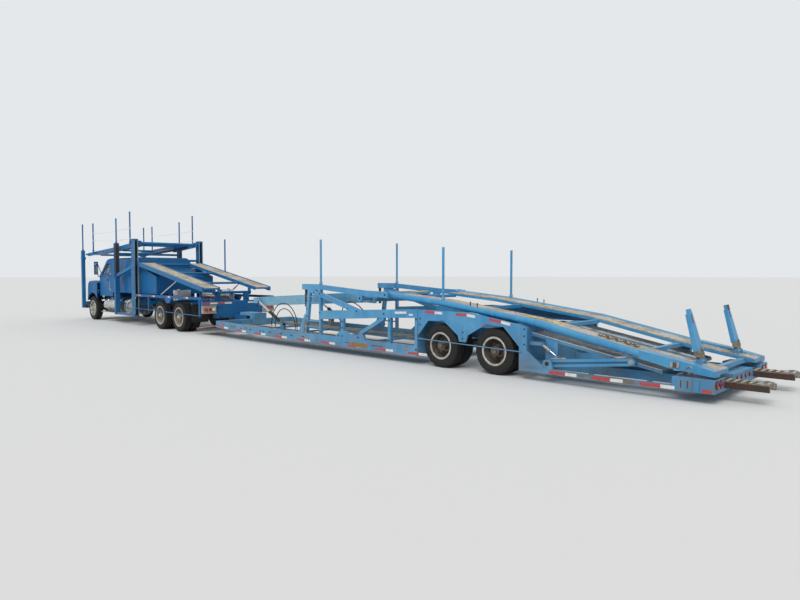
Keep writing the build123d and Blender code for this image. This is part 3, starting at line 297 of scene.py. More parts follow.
# Brown stains: on the left truss at the low rear rail, the fender and a post, and at the tail's slots and end
rust_brown, grime_brown = "#8A6434", "#6B5A40"
left_stains = [((at(-2.05), 1.29, 0.18), (1.15, 0.1, 0.06), grime_brown),
               ((at(0.1), 1.275, 0.86), (0.16, 0.1, 0.08), rust_brown),
               ((at(5.42), 1.29, 0.6), (0.1, 0.1, 0.2), grime_brown)]
left_truss_paint = old_enamel("trailer_enamel_left", *trailer_colours, stains=left_stains)
tail_stains = [((at(-3.34), 1.29, 0.245), (0.045, 0.1, 0.095), rust_brown),
               ((at(-3.24), 1.29, 0.245), (0.03, 0.1, 0.095), rust_brown),
               ((at(-3.67), 1.24, 0.245), (0.06, 0.06, 0.11), grime_brown)]
tail_paint = old_enamel("tail_enamel", "#2C80B2", "#5FA0C2", "#7F949C", 0.55, 0.8, 0.6, 0.42, tail_stains)
deck_paint = old_enamel("deck_enamel", "#2886BC", "#5CA8CC", "#86999F", 0.5, 0.75, 0.4, 0.32)
faded_paint = old_enamel("sun_faded_enamel", "#5795B8", "#84ADC2", "#A0A6A2", 0.8, 0.85, 0.5, 0.48)
# Hot-dipped steel runways, worn by tyres: pale zinc with rust bleeding through
runway_zinc = clouded("worn_galvanised_steel", "#C6BFB2", "#A79C8D", "#6A5A4A", 0.2, 0.55, 0.8, 0.35, 0.002)
# The low floor, dulled by road film and oil, and the lower ramp: pale steel whitened further as painted
# light, against the shade under the deck
floor_steel = clouded("oiled_floor_steel", "#7E8482", "#5F6564", "#45413A", 0.15, 0.6, 0.85, 0.35, 0.002)
pale_ramp_steel_painted_light = clouded("pale_ramp_steel_with_painted_light", "#E6E2DA", "#D2CDC3", "#938877", 0.0, 0.55, 0.8, 0.35, 0.002)
runway_finish = {"floor_runways": floor_steel, "lower_ramp_runways": pale_ramp_steel_painted_light}
# Bare rusty steel: brown oxide, dull
rusty_steel = clouded("rusted_steel", "#5C4436", "#7A5138", "#3B2F2A", 0.15, 0.75, 0.92, 0.1, 0.003)
# Inside of the posts: dark greasy rust. Skids and the flaps' feet: worn to grey-brown, dusty
core_steel = clouded("greasy_rusted_steel", "#3B302A", "#52392A", "#1F1C1A", 0.15, 0.55, 0.85, 0.14, 0.003)
skid_steel = clouded("dusty_worn_steel", "#8E877A", "#75695C", "#4A3C30", 0.25, 0.55, 0.85, 0.09, 0.002)
bled_rust = clouded("rust_bled_plate", "#94703E", "#7E7450", "#544532", 0.0, 0.7, 0.92, 0.07, 0.0008)
screw_steel = clouded("rusted_screw_steel", "#6B4A36", "#4A3428", "#2E2622", 0.25, 0.7, 0.9, 0.06, 0.002)
# Chassis paint: black, dusty
chassis_paint = clouded("black_chassis_paint", "#1D1E20", "#34332F", "#4C463C", 0.0, 0.55, 0.8, 0.2, 0.001)
# Cast and machined pieces left dark
cast_iron = clouded("cast_iron", "#2C2B2A", "#443C34", "#5A4636", 0.5, 0.6, 0.85, 0.08, 0.002)
# Machined aluminium wheels: bright, with grey road film
wheel_aluminium = clouded("machined_wheel_aluminium", "#CDCBC6", "#AAA69E", "#7A7268", 0.65, 0.35, 0.6,
                          0.14, 0.0006)
# Steel discs of the twin wheels, under brake dust and rust: grey on the trailer, pale on the truck
wheel_steel = clouded("dusty_wheel_steel", "#7D766D", "#5C5148", "#3F3129", 0.35, 0.6, 0.85, 0.1, 0.001)
drive_steel = clouded("pale_wheel_enamel", "#B4AB9C", "#938877", "#5E5244", 0.2, 0.5, 0.8, 0.12, 0.001)
# Polished aluminium tanks, a little cloudy
tank_aluminium = clouded("polished_tank_aluminium", "#D4D5D6", "#B5B4B0", "#8E8A82", 0.9, 0.14, 0.38,
                         0.3, 0.0003)
# Chromed steel: bumper and cylinder rods
chrome = clouded("chromed_steel", "#DADBDD", "#CFCFD0", "#A19A90", 1.0, 0.06, 0.2, 0.25, 0.0002)
# Silver-painted cylinder barrels
barrel_paint = clouded("silver_barrel_paint", "#A9ABAB", "#8D8D8A", "#5E564C", 0.35, 0.4, 0.62, 0.12, 0.0006)
# Moulded plastic and rubber, dull black; grained vinyl; painted housings; glossy blank plates; rusty chain
black_plastic = clouded("black_polypropylene", "#17181A", "#232427", "#35332F", 0.0, 0.45, 0.65, 0.1, 0.0006)
flap_rubber = clouded("flap_rubber", "#161617", "#2A2926", "#403B33", 0.0, 0.75, 0.92, 0.2, 0.001)
seat_vinyl = clouded("grey_seat_vinyl", "#4A4C50", "#3D3F44", "#2C2D30", 0.0, 0.55, 0.75, 0.03, 0.0006)
housing_paint = clouded("beige_lamp_housing", "#B5AA97", "#9C907E", "#77695A", 0.0, 0.55, 0.75, 0.08, 0.0006)
white_plate = clouded("blank_white_plate", "#E6E8E8", "#D2D4D2", "#A8A59C", 0.0, 0.35, 0.55, 0.12, 0.0003)
chain_steel = clouded("rusty_chain_steel", "#6E5A48", "#8B7356", "#453628", 0.3, 0.6, 0.85, 0.03, 0.001)
rubber = tyre_rubber()
glass = window_glass()
red_lens = clear_plastic("red_acrylic_lens", "#A3141B", 0.18)
amber_lens = clear_plastic("amber_acrylic_lens", "#D9781A", 0.18)
clear_lens = clear_plastic("clear_acrylic_lens", "#DDE4E6", 0.1)
red_tape = beaded_tape("red_beaded_tape", "#B3262B")
white_tape = beaded_tape("white_beaded_tape", "#DEDFDB")
yellow_webbing = webbing("yellow_polyester_webbing", "#E2D352")

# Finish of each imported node, by the start of its name: the longest start that fits
starts_by_finish = [
    (truck_paint, ("truck_frame", "cab_shell", "sleeper_shell", "door", "hood_shell")),
    (rack_paint, ("headrack_frame", "cab_deck", "truck_ramp")), (glass, ("cab_glass", "door_glass")),
    (cast_iron, ("engine_block", "knuckle")), (seat_vinyl, ("cab_interior",)), (clear_lens, ("headlamps",)),
    (chassis_paint, ("truck_axles", "trailer_axles", "front_deck_barrels")), (barrel_paint, ("arm_barrels",)),
    (chrome, ("front_bumper", "front_deck_rods", "arm_rods")), (tank_aluminium, ("fuel_tanks",)),
    (flap_rubber, ("mudflaps", "hydraulic_hoses")), (housing_paint, ("rear_lamps",)),
    (trailer_paint, ("trailer_frame", "truss")), (left_truss_paint, ("truss_left",)),
    (rusty_steel, ("nose_plates",)), (tail_paint, ("rear_bumper",)), (faded_paint, ("front_deck",)),
    (deck_paint, ("rear_deck", "lift_arms", "flipper")), (skid_steel, ("skid",)), (rubber, ("tyre",)),
    (wheel_steel, ("rim",)), (drive_steel, ("rim_drive",)), (wheel_aluminium, ("rim_front",))]
node_finish = {start: finish for finish, starts in starts_by_finish for start in starts}
for name, node in nodes.items():
    key = max((start for start in node_finish if name.startswith(start)), key=len)
    node.data.materials.clear()
    node.data.materials.append(node_finish[key])


# Mesh building
forward, rearward, leftward, upward, downward = (1, 0, 0), (-1, 0, 0), (0, 1, 0), (0, 0, 1), (0, 0, -1)
box_faces = [(0, 1, 3, 2), (4, 6, 7, 5), (0, 4, 5, 1), (2, 3, 7, 6), (0, 2, 6, 4), (1, 5, 7, 3)]


def around(count, start=0.0):
    """Cosine and sine of equal steps round a full turn."""
    angles = [2 * math.pi * (i + start) / count for i in range(count)]
    return [(math.cos(a), math.sin(a)) for a in angles]


class Pieces:
    """Collects plates, bars and turned shapes, then makes one mesh of them."""

    def __init__(self):
        self.points = []
        self.faces = []

    def add(self, points, faces):
        """Adds faces, each given by the places of its corners in the list of points."""
        start = len(self.points)
        self.points += [tuple(p) for p in points]
        self.faces += [tuple(start + i for i in face) for face in faces]

    def block(self, x, y, z):
        """Box between two stations, two sides and two heights."""
        self.add([(a, b, c) for a in x for b in y for c in z], box_faces)

    def prism(self, outline, y):
        """Upright plate from an outline of (station, height) points, between two sides."""
        n = len(outline)
        points = [(px, side, pz) for side in y for px, pz in outline]
        rim = [(i, (i + 1) % n, n + (i + 1) % n, n + i) for i in range(n)]
        self.add(points, [tuple(range(n)), tuple(reversed(range(n, 2 * n)))] + rim)

    def rings(self, points, sides, ends):
        """Skin over rings of points, listed one ring after another, with its ends closed or not."""
        last = len(points) - sides
        faces = []
        for i in range(0, last, sides):
            for k in range(sides):
                a, b = i + k, i + (k + 1) % sides
                faces.append((a, b, b + sides, a + sides))
        if ends:
            faces += [tuple(range(sides)), tuple(last + k for k in reversed(range(sides)))]
        self.add(points, faces)

    def tube(self, line, radius, sides=8):
        """Round bar along a line of points."""
        line = [Vector(p) for p in line]
        points = []
        for i, point in enumerate(line):
            run = line[min(i + 1, len(line) - 1)] - line[max(i - 1, 0)]
            side = run.cross(Vector(upward))
            if side.length < 1e-6 * run.length:
                side = run.cross(Vector(leftward))
            side.normalize()
            up = side.cross(run).normalized()
            points += [point + radius * (c * side + s * up) for c, s in around(sides)]
        self.rings(points, sides, True)

    def turned(self, outline, centre, axis, sides=24, ends=True):
        """Form turned about an axis through the centre, from (along, radius) points."""
        axis = Vector(axis).normalized()
        side = axis.orthogonal().normalized()
        up = axis.cross(side)
        points = [Vector(centre) + axis * along + radius * (c * side + s * up)
                  for along, radius in outline for c, s in around(sides)]
        self.rings(points, sides, ends)

    def both_sides(self):
        """Adds the mirror image of all that is there, on the other side."""
        n = len(self.points)
        self.points += [(px, -py, pz) for px, py, pz in self.points]
        self.faces += [tuple(n + i for i in reversed(face)) for face in self.faces]

    def made(self, name, material, body, slot, both=False, bevel=0.0, smooth=35.0, zero_x=rear_axle_x):
        """The mesh as an object that rides on a body, on both sides if asked, with station 0 at zero_x."""
        if both:
            self.both_sides()
        mesh = bpy.data.meshes.new(name)
        mesh.from_pydata([(px + zero_x, py, pz) for px, py, pz in self.points], [], self.faces)
        form = bmesh.new()
        form.from_mesh(mesh)
        bmesh.ops.recalc_face_normals(form, faces=form.faces)
        for edge in form.edges:
            edge.smooth = len(edge.link_faces) == 2 and edge.calc_face_angle(0) < math.radians(smooth)
        for face in form.faces:
            face.smooth = True
        form.to_mesh(mesh)
        form.free()
        mesh.materials.append(material)
        piece = bpy.data.objects.new(name, mesh)
        bpy.context.scene.collection.objects.link(piece)
        if bevel:
            rounding = piece.modifiers.new("rounding", "BEVEL")
            rounding.width = bevel
            rounding.segments = 2
            rounding.limit_method = "ANGLE"
        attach(piece, body)
        return piece


# Floor and light
floor = Pieces()
floor_reach = 400.0
floor.block((-floor_reach, floor_reach), (-floor_reach, floor_reach), (-0.06, -0.002))
floor_mesh = bpy.data.meshes.new("floor")
floor_mesh.from_pydata(floor.points, [], floor.faces)
floor_piece = bpy.data.objects.new("floor", floor_mesh)
bpy.context.scene.collection.objects.link(floor_piece)
floor_mesh.materials.append(new_material("pale_floor", Base_Color=srgb("#DCDDDC"), Roughness=0.9)[0])

world = bpy.data.worlds.new("studio")
bpy.context.scene.world = world
world.use_nodes = True
sky = world.node_tree
sky_light = sky.nodes["Background"]
sky_light.inputs["Color"].default_value = (1.0, 1.0, 1.0, 1.0)
sky_light.inputs["Strength"].default_value = 0.62
seen_sky = add_node(sky, "ShaderNodeBackground", {"Color": srgb("#E4E8EB"), "Strength": 1.0})
rays = add_node(sky, "ShaderNodeLightPath")
seen = add_node(sky, "ShaderNodeMath", None, {0: (rays, "Is Camera Ray"), 1: (rays, "Is Glossy Ray")},
                operation="MAXIMUM")
seen = add_node(sky, "ShaderNodeMath", None, {0: (seen, "Value"), 1: (rays, "Is Transmission Ray")},
                operation="MAXIMUM")
sky_mix = add_node(sky, "ShaderNodeMixShader", None,
                   {0: (seen, "Value"), 1: (sky_light, 0), 2: (seen_sky, 0)})
sky.links.new(sky_mix.outputs[0], sky.nodes["World Output"].inputs["Surface"])

sun_data = bpy.data.lights.new("soft_sun", "SUN")
sun_data.energy = 1.55
sun_data.angle = math.radians(35.0)
sun = bpy.data.objects.new("soft_sun", sun_data)
bpy.context.scene.collection.objects.link(sun)
sun.rotation_euler = (math.radians(-38.0), math.radians(-18.0), 0.0)
bpy.context.scene.view_settings.view_transform = "Standard"


# Tyres and wheels
def tyre_rings(form, radius, width, seat, middle):
    """One road tyre about the Y axis: ribbed tread, slotted shoulders, bulged walls with a bead ring."""
    wall = radius - seat
    groove = 0.013
    half = [  # side, radius, share of the shoulder slot's depth
        (0.0, radius, 0), (0.055 * width, radius, 0), (0.06 * width, radius - groove, 0),
        (0.1 * width, radius - groove, 0), (0.105 * width, radius - 0.001, 0),
        (0.23 * width, radius - 0.002, 0), (0.235 * width, radius - groove, 0),
        (0.275 * width, radius - groove, 0), (0.28 * width, radius - 0.003, 1),
        (0.4 * width, radius - 0.007, 1), (0.445 * width, radius - 0.022, 1),
        (0.472 * width, radius - 0.055, 0.5),
        (0.5 * width, seat + 0.47 * wall, 0), (0.492 * width, seat + 0.3 * wall, 0),
        (0.462 * width, seat + 0.17 * wall, 0), (0.452 * width, seat + 0.15 * wall, 0),
        (0.44 * width, seat + 0.06 * wall, 0), (0.42 * width, seat, 0)]
    profile = [(-y, r, cut) for y, r, cut in reversed(half)] + half[1:]
    pitches = 48
    slot_depth = 0.009
    stops = ((0.0, 0), (0.7, 0), (0.74, 1), (0.96, 1))
    points = []
    for pitch in range(pitches):
        for share, in_slot in stops:
            angle = 2 * math.pi * (pitch + share) / pitches
            for y, r, cut in profile:
                depth = r - slot_depth * cut * in_slot
                points.append((depth * math.sin(angle), middle + y, depth * math.cos(angle)))
    across = len(profile)
    rings = pitches * len(stops)
    faces = []
    for i in range(rings):
        a, b = i * across, (i + 1) % rings * across
        for k in range(across):
            j = (k + 1) % across
            faces.append((a + k, b + k, b + j, a + j))
    form.add(points, faces)


def hex_nuts(form, count, circle, face_y, size, high):
    """Ring of wheel nuts with their studs, about the Y axis."""
    for c, s in around(count, 0.5):
        centre = (circle * s, face_y, circle * c)
        form.turned([(0, size / 2), (high, size / 2)], centre, leftward, 6)
        form.turned([(high, size * 0.28), (high + 0.014, size * 0.28)], centre, leftward, 8)


# A radius that closes a domed end to a point
tip = 0.0005
# Twin and single wheels: name start, tyre radius, width, spacing (none if single), seat radius, nut circle,
# face of the disc at the nuts, end of the hub, finishes of the hub cap and of the nuts
wheel_table = [
    ("drive", 0.457, 0.25, 0.3, 0.288, 0.146, 0.0155, 0.235, wheel_aluminium, chain_steel),
    ("trailer", 0.421, 0.24, 0.28, 0.25, 0.146, 0.0155, 0.2208, wheel_steel, chain_steel),
    ("front", 0.457, 0.25, None, 0.288, 0.114, 0.085, 0.145, wheel_aluminium, wheel_aluminium)]
for kind, radius, width, spacing, seat, circle, nut_face, hub_end, cap_finish, nut_finish in wheel_table:
    tyre_form = Pieces()
    for middle in ((spacing / 2, -spacing / 2) if spacing else (0.0,)):
        tyre_rings(tyre_form, radius, width, seat, middle)
    trim = Pieces()
    hex_nuts(trim, 10, circle, nut_face, 0.033, 0.022)
    cap = Pieces()
    cap.turned([(-0.002, 0.088), (0.012, 0.088), (0.014, 0.062), (0.05, 0.056), (0.062, 0.04),
                (0.064, tip)], (0, hub_end, 0), leftward, 28)
    hex_nuts(cap, 8, 0.075, hub_end + 0.012, 0.018, 0.009)
    flange = Pieces()
    edge = (spacing / 2 if spacing else 0.0) + 0.42 * width + 0.013
    flange.turned([(-0.001, seat - 0.024), (0.0025, seat - 0.02), (0.0035, seat - 0.004),
                   (0.0025, seat + 0.012), (-0.008, seat + 0.0145), (-0.009, seat - 0.024),
                   (-0.001, seat - 0.024)], (0, edge, 0), leftward, 64, False)
    wheel_parts = ((tyre_form, rubber, "road_tyre", "tyre"), (trim, nut_finish, "wheel_nuts", "iron"),
                   (cap, cap_finish, "hub_cap", "rim_alu"),
                   (flange, wheel_aluminium, "rim_flange", "rim_alu"))
    ends = ("rear_", "front_") if spacing else ("",)
    for name in [f"{kind}_{end}{side}" for end in ends for side in ("left", "right")]:
        low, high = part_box("tyre_" + name)
        centre = (low + high) / 2
        for part, finish, label, slot in wheel_parts:
            piece = part.made(f"{label}_{name}", finish, "wheel_" + name, slot, zero_x=0.0)
            piece.data.transform(Matrix.Rotation(math.pi if centre.y < 0 else 0.0, 4, "Z"))
            piece.data.transform(Matrix.Translation(centre))
            if label == "road_tyre":
                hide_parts("tyre_" + name)


# Runways
def skin(form, line, sides, gap, rib):
    """Pressed skin over a runway: thin plate along the line, ribs across at a gap, a lip along each side."""
    thick, lip_thick, lip_high, rib_setback, rib_top = 0.003, 0.006, 0.014, 0.03, 0.6
    for (s0, z0), (s1, z1) in zip(line, line[1:]):
        run = math.hypot(s1 - s0, z1 - z0)
        slope = (z1 - z0) / (s1 - s0)
        form.prism([(s0, z0), (s1, z1), (s1, z1 + thick), (s0, z0 + thick)], sides)
        for y in (sides[0], sides[1] - lip_thick):
            form.prism([(s0, z0 + thick), (s1, z1 + thick), (s1, z1 + lip_high), (s0, z0 + lip_high)],
                       (y, y + lip_thick))
        for i in range(int(run / gap)):
            s = s0 + (s1 - s0) * (i + 0.5) * gap / run
            z = z0 + slope * (s - s0) + thick
            half = 0.5 * rib[0] * (1 if s1 > s0 else -1)
            top = half * rib_top
            form.prism([(s - half, z - slope * half), (s + half, z + slope * half),
                        (s + top, z + slope * top + rib[1]), (s - top, z - slope * top + rib[1])],
                       (sides[0] + rib_setback, sides[1] - rib_setback))


# Lines of (station, height) along the tops of the decks and of the truck's ramp
rear_runway_line = [(2.6, 1.3749), (1.29, 1.265), (-0.87, 0.985), (-2.63, 0.615), (-3.655, 0.4474)]
front_runway_line = [(3.43, 1.3754), (3.65, 1.385), (7.94, 1.1655)]
cab_runway_line = [(15.71, 2.8957), (16.9, 2.8), (20.05, 2.6206)]
ramp_runway_line = [(10.57, 1.3768), (15.03, 2.1885)]
rib_gap, rib_size = 0.115, (0.04, 0.008)
# Each runway: name, body, its line, its two sides, gap between ribs, width and height of a rib
runways = [
    ("rear_deck_runways", "rear_deck", rear_runway_line, (0.646, 1.083), rib_gap, rib_size),
    ("front_deck_runways", "front_deck", front_runway_line, (0.426, 0.844), rib_gap, rib_size),
    ("truck_ramp_runways", "truck_ramp", ramp_runway_line, (0.646, 1.124), rib_gap, rib_size),
    ("cab_deck_runways", "cab_deck", cab_runway_line, (0.566, 0.994), rib_gap, rib_size),
    ("floor_runways", "trailer", [(1.87, 0.2496), (9.44, 0.345)], (0.456, 1.208), 0.2, (0.05, 0.008)),
    ("lower_ramp_runways", "trailer", [(-0.66, 0.7862), (-2.89, 0.3669)], (0.646, 1.054), rib_gap, rib_size),
    ("nose_plate_treads", "trailer", [(9.61, 0.3287), (10.89, 0.1663)], (0.606, 1.209), 0.1, (0.03, 0.006))]
for name, body, line, sides, gap, rib in runways:
    form = Pieces()
    skin(form, line, sides, gap, rib)
    form.made(name, runway_finish.get(name, runway_zinc), body, "deck_steel", both=True)


# Reflective tape
def line_z(line, s):
    """Height of a line of (station, height) points at a station."""
    ordered = sorted(line)
    for (s0, z0), (s1, z1) in zip(ordered, ordered[1:]):
        if s0 <= s <= s1:
            return z0 + (z1 - z0) * (s - s0) / (s1 - s0)
    return ordered[0][1] if s < ordered[0][0] else ordered[-1][1]


def tape_pairs(red, white, starts, red_length, white_length, line, face_y, high=0.05):
    """Pairs of red and white tape on a face, back from each start, along a line of (station, height)."""
    for start in starts:
        middle = start - red_length
        for form, s0, s1 in ((red, start, middle), (white, middle, middle - white_length)):
            z0, z1 = line_z(line, s0) - high / 2, line_z(line, s1) - high / 2
            form.prism([(s0, z0), (s1, z1), (s1, z1 + high), (s0, z0 + high)], (face_y, face_y + tape_thick))


def on_outer_face(thick):
    """Sides of a thin plate on the widest faces."""
    return (outer_face, outer_face + thick)


# How far out they lie: rails of the trailer and posts of the head rack, fenders, side plates of the truck
outer_face, fender_face, side_plate_face = 1.29, 1.275, 1.27
tape_thick = 0.0012
rail_bottom = [(1.8, 0.18), (5.82, 0.185), (8.41, 0.225), (9.6, 0.285)]
rail_tape_line = [(s, z + 0.042) for s, z in rail_bottom]
fender_tape_line = [(1.8, 1.06), (0.57, 1.04), (-0.05, 0.975), (-0.6, 0.885)]
red_strips, white_strips = Pieces(), Pieces()
rail_starts, tail_starts = [9.45 - 0.925 * i for i in range(9)], [-1.14 - 0.76 * i for i in range(3)]
tape_pairs(red_strips, white_strips, rail_starts, 0.29, 0.21, rail_tape_line, outer_face)
tape_pairs(red_strips, white_strips, (1.62, 0.84, 0.08), 0.26, 0.19, fender_tape_line, fender_face)
tape_pairs(red_strips, white_strips, tail_starts, 0.3, 0.2, [(0.0, 0.182)], outer_face)
red_strips.block((-3.66, -3.53), on_outer_face(tape_thick), (0.158, 0.205))
red_strips.made("trailer_red_tape", red_tape, "trailer", "lamp_red", both=True)
white_strips.made("trailer_white_tape", white_tape, "trailer", "deck_steel", both=True)

red_strips, white_strips = Pieces(), Pieces()
truck_starts = (13.86, 12.76, 11.55, 14.95)
tape_pairs(red_strips, white_strips, truck_starts, 0.14, 0.12, [(0.0, 1.07)], side_plate_face, 0.045)
for i in range(4):
    y = 0.28 + 0.24 * i
    (red_strips if i % 2 else white_strips).block((10.4388, 10.44), (y, y + 0.24), (0.9, 0.95))
red_strips.made("truck_red_tape", red_tape, "truck", "lamp_red", both=True)
white_strips.made("truck_white_tape", white_tape, "truck", "deck_steel", both=True)


# Lamps
def lamp(housing, lens, centre, axis, radius, depth):
    """Round marker lamp: a flat housing ring and a domed lens."""
    ring = radius * 1.18
    housing.turned([(-0.004, ring), (depth * 0.5, ring), (depth * 0.55, radius * 1.02)], centre, axis, 20)
    lens.turned([(depth * 0.3, radius), (depth * 0.8, radius * 0.92), (depth, radius * 0.6),
                 (depth * 1.06, tip)], centre, axis, 20)


# Rear lamp boxes of the truck: beige housings with three lamps each
housing, lens, clear = Pieces(), Pieces(), Pieces()
for y0, form, y1 in ((0.845, clear, 0.935), (0.965, lens, 1.055), (1.085, lens, 1.195)):
    housing.block((10.428, 10.442), (y0 - 0.012, y1 + 0.012), (0.69, 0.8))
    form.block((10.42, 10.43), (y0, y1), (0.7, 0.79))
for z in (0.625, 0.852):
    housing.block((10.424, 10.442), (0.79, 1.245), (z, z + 0.012))
housing.made("rear_lamp_frames", housing_paint, "truck", "lamp_red", both=True, bevel=0.003)
lens.made("rear_lamp_red_lenses", red_lens, "truck", "lamp_red", both=True, bevel=0.004)
clear.made("rear_lamp_clear_lenses", clear_lens, "truck", "lamp_glass", both=True, bevel=0.004)

# Round marker lamps: place, axis and radius of each
rack_front, tail_end = 20.2199, -3.6901
truck_markers = [((s, side_plate_face, z), leftward, 0.03) for s, z in ((15.05, 0.985), (12.1, 1.0))]
truck_markers += [((rack_front, 1.235, z), forward, 0.032) for z in (2.55, 1.55)]
red_markers = [((tail_end, y, 0.265), rearward, size)
               for y, size in ((1.18, 0.05), (1.03, 0.05), (0.3, 0.03), (0.1, 0.03))]
amber_markers = [((s, outer_face, z), leftward, 0.028) for s, z in ((5.3, 0.27), (9.2, 0.36), (2.1, 0.3))]
for name, markers, material, body, depth in (("truck_amber", truck_markers, amber_lens, "truck", 0.02),
                                             ("trailer_red", red_markers, red_lens, "trailer", 0.022),
                                             ("trailer_amber", amber_markers, amber_lens, "trailer", 0.0044)):
    housing, lens = Pieces(), Pieces()
    for place, axis, size in markers:
        lamp(housing, lens, place, axis, size, depth)
    housing.made(f"{name}_lamp_rings", black_plastic, body, "trim_black", both=True)
    lens.made(f"{name}_lenses", material, body, "lamp_red", both=True)


# Head rack: rusty cores, screws, adjusting holes, pins and bolts
def bolt(form, centre, axis, size=0.024, high=0.017):
    """Hexagon head on a round washer."""
    washer = high * 0.18
    form.turned([(-0.001, size * 0.85), (washer, size * 0.85)], centre, axis, 16)
    form.turned([(washer, size / 2), (high * 0.85, size / 2), (high, size * 0.4)], centre, axis, 6)


def bolts(form, centres, axis, size=0.024, high=0.017):
    """A bolt at each centre."""
    for centre in centres:
        bolt(form, centre, axis, size, high)


def pins(form, centres, radius, high, end):
    """Round pin heads that stand out to the left, each narrowed to a smaller end."""
    for centre in centres:
        form.turned([(0, radius), (high, radius), (high + 0.002, end)], centre, leftward, 16)


# Heads on the widest faces stay low, within the rig's width, and their washers start just inside the face
low_head = 0.0046
bolt_seat = outer_face - 0.0002

screws = Pieces()
thread_pitch = 0.022
thread_low, thread_high = 0.385, 2.95
root, crest = 0.0405, 0.044
outline = []
for i in range(int((thread_high - thread_low) / thread_pitch)):
    z = thread_low + i * thread_pitch
    outline += [(z, root), (z + thread_pitch * 0.35, crest), (z + thread_pitch * 0.65, crest)]
screws.turned(outline, (15.245, 1.21, 0), upward, 14)
screws.made("rack_lift_screws", screw_steel, "truck", "skid_steel", both=True, smooth=60)

cores = Pieces()
for face, out in ((16.78, -0.003), (16.9, 0.003)):
    cores.block(sorted((face, face + out)), (1.155, 1.265), (1.72, 2.9))
cores.block((16.8, 16.88), on_outer_face(0.0015), (1.66, 2.86))
# Rusty inside of the rear post's channel: its web and both flanges
cores.block((15.321, 15.326), (1.166, 1.254), (0.385, 2.955))
for y in ((1.1645, 1.168), (1.252, 1.2555)):
    cores.block((15.14, 15.322), y, (0.385, 2.955))
for i in range(12):
    z = 1.8 + 0.09 * i
    cores.turned([(0.0, 0.016), (0.0035, 0.016), (0.0035, 0.009), (0.001, 0.009)],
                 (16.84, outer_face + 0.0012, z), leftward, 12)
cores.made("rack_post_rusty_cores", core_steel, "truck", "skid_steel", both=True)

# Rear edges of the rear post's plates in pale paint: painted highlight where the edges catch the light
edge_highlights = Pieces()
for y in ((1.131, 1.164), (1.256, 1.289)):
    edge_highlights.block((15.1286, 15.1302), y, (0.4, 2.95))
edge_highlights.made("rack_post_edge_highlights", faded_paint, "truck", "truck_blue", both=True)

fasteners = Pieces()
post_bolt_heights = (0.34, 0.72, 0.8, 1.3, 2.02, 2.26, 2.34, 2.9, 2.99)
rack_bolts = [(16.84, z) for z in (0.42, 0.56, 1.1, 1.24, 1.62)]
rack_bolts += [(s, z) for s in (15.165, 15.325) for z in post_bolt_heights]
bolts(fasteners, [(s, bolt_seat, z) for s, z in rack_bolts], leftward, 0.026, low_head)
side_bolts = [(s, side_plate_face, 1.06) for s in (12.3, 12.9, 10.75, 11.05, 14.4, 14.75)]
bolts(fasteners, side_bolts, leftward, 0.02)
bolts(fasteners, [(10.4385, y, z) for y in (0.62, 0.7) for z in (0.52, 0.8)], rearward)
fasteners.made("truck_bolts", cast_iron, "truck", "iron", both=True)

# Pins along the decks: their heads show on the rails' outer sides, painted over
deck_pins = Pieces()
deck_pins.turned([(0, 0.058), (0.01, 0.058), (0.014, 0.041)], (15.245, 1.09, 2.88), leftward, 24)
cab_rail_line = [(15.16, 2.96), (16.9, 2.82), (20.06, 2.64)]
pins(deck_pins, [(s, 1.09, line_z(cab_rail_line, s) - 0.075) for s in (16.2, 17.3, 18.4, 19.5)],
     0.022, 0.014, 0.01)
deck_pins.made("cab_deck_pins", rack_paint, "cab_deck", "truck_blue", both=True)
ramp_pins = Pieces()
pins(ramp_pins, [(s, 1.2, 1.34 + (s - 10.56) * 0.182) for s in (11.3, 12.4, 13.5, 14.6)],
     0.02, 0.012, 0.01)
ramp_pins.made("ramp_pins", rack_paint, "truck_ramp", "truck_blue", both=True)

# Prop under each ramp rail: it hangs from the rail and stands on the frame's side plate when the ramp is down
props = Pieces()
prop_top, prop_foot = Vector((12.2, 1.172, 1.585)), Vector((13.18, 1.242, 1.124))
prop_length = (prop_foot - prop_top).length
props.turned([(0, 0.016), (prop_length * 0.45, 0.016), (prop_length * 0.46, 0.023),
              (prop_length - 0.03, 0.023), (prop_length - 0.02, 0.018), (prop_length, 0.018)],
             prop_top, prop_foot - prop_top, 20)
props.turned([(-0.024, 0.026), (0.024, 0.026)], prop_top, leftward, 20)
props.made("ramp_props", chrome, "truck_ramp", "rod_chrome", both=True)

# Safety wires between the poles of the cab deck, two on each side, a little slack
wires = Pieces()
front_pole, rear_pole = 19.2, 15.7
for top_front, top_rear, sag in ((3.38, 3.42, 0.03), (3.12, 3.05, 0.05)):
    line = []
    for i in range(13):
        share = i / 12
        s = front_pole + (rear_pole - front_pole) * share
        line.append((s, 1.149, top_front + (top_rear - top_front) * share - 4 * sag * share * (1 - share)))
    wires.tube(line, 0.004, 6)
    for s, z in ((front_pole, top_front), (rear_pole, top_rear)):
        wires.turned([(-0.015, 0.03), (0.015, 0.03)], (s, 1.175, z), upward, 16)
wires.made("safety_wires", chrome, "cab_deck", "rod_chrome", both=True)

# Poles' collars, a clamp ring and a cap on each: the poles' stations, sides, bases and tops
collars = [
    ("truck", rack_paint, "truck_blue", [(20.16, 1.235, 2.742, 3.79), (16.84, 1.21, 2.932, 3.83)]),
    ("cab_deck", rack_paint, "truck_blue", [(19.2, 1.175, 2.7, 3.78), (15.7, 1.175, 2.9, 4.0)]),
    ("trailer", faded_paint, "trailer_blue", [(4.87, 1.25, 1.562, 2.59)]),
    ("rear_deck", faded_paint, "trailer_blue", [(1.26, 1.143, 1.297, 2.31)])]
for body, finish, slot, poles in collars:
    rings = Pieces()
    for s, y, base, top in poles:
        rings.turned([(0, 0.037), (0.045, 0.037), (0.05, 0.03)], (s, y, base), upward, 20)
        rings.turned([(-0.03, 0.0272), (-0.006, 0.0272), (-0.001, 0.02)], (s, y, top), upward, 16)
    rings.made(f"{body}_pole_collars", finish, body, slot, both=True)


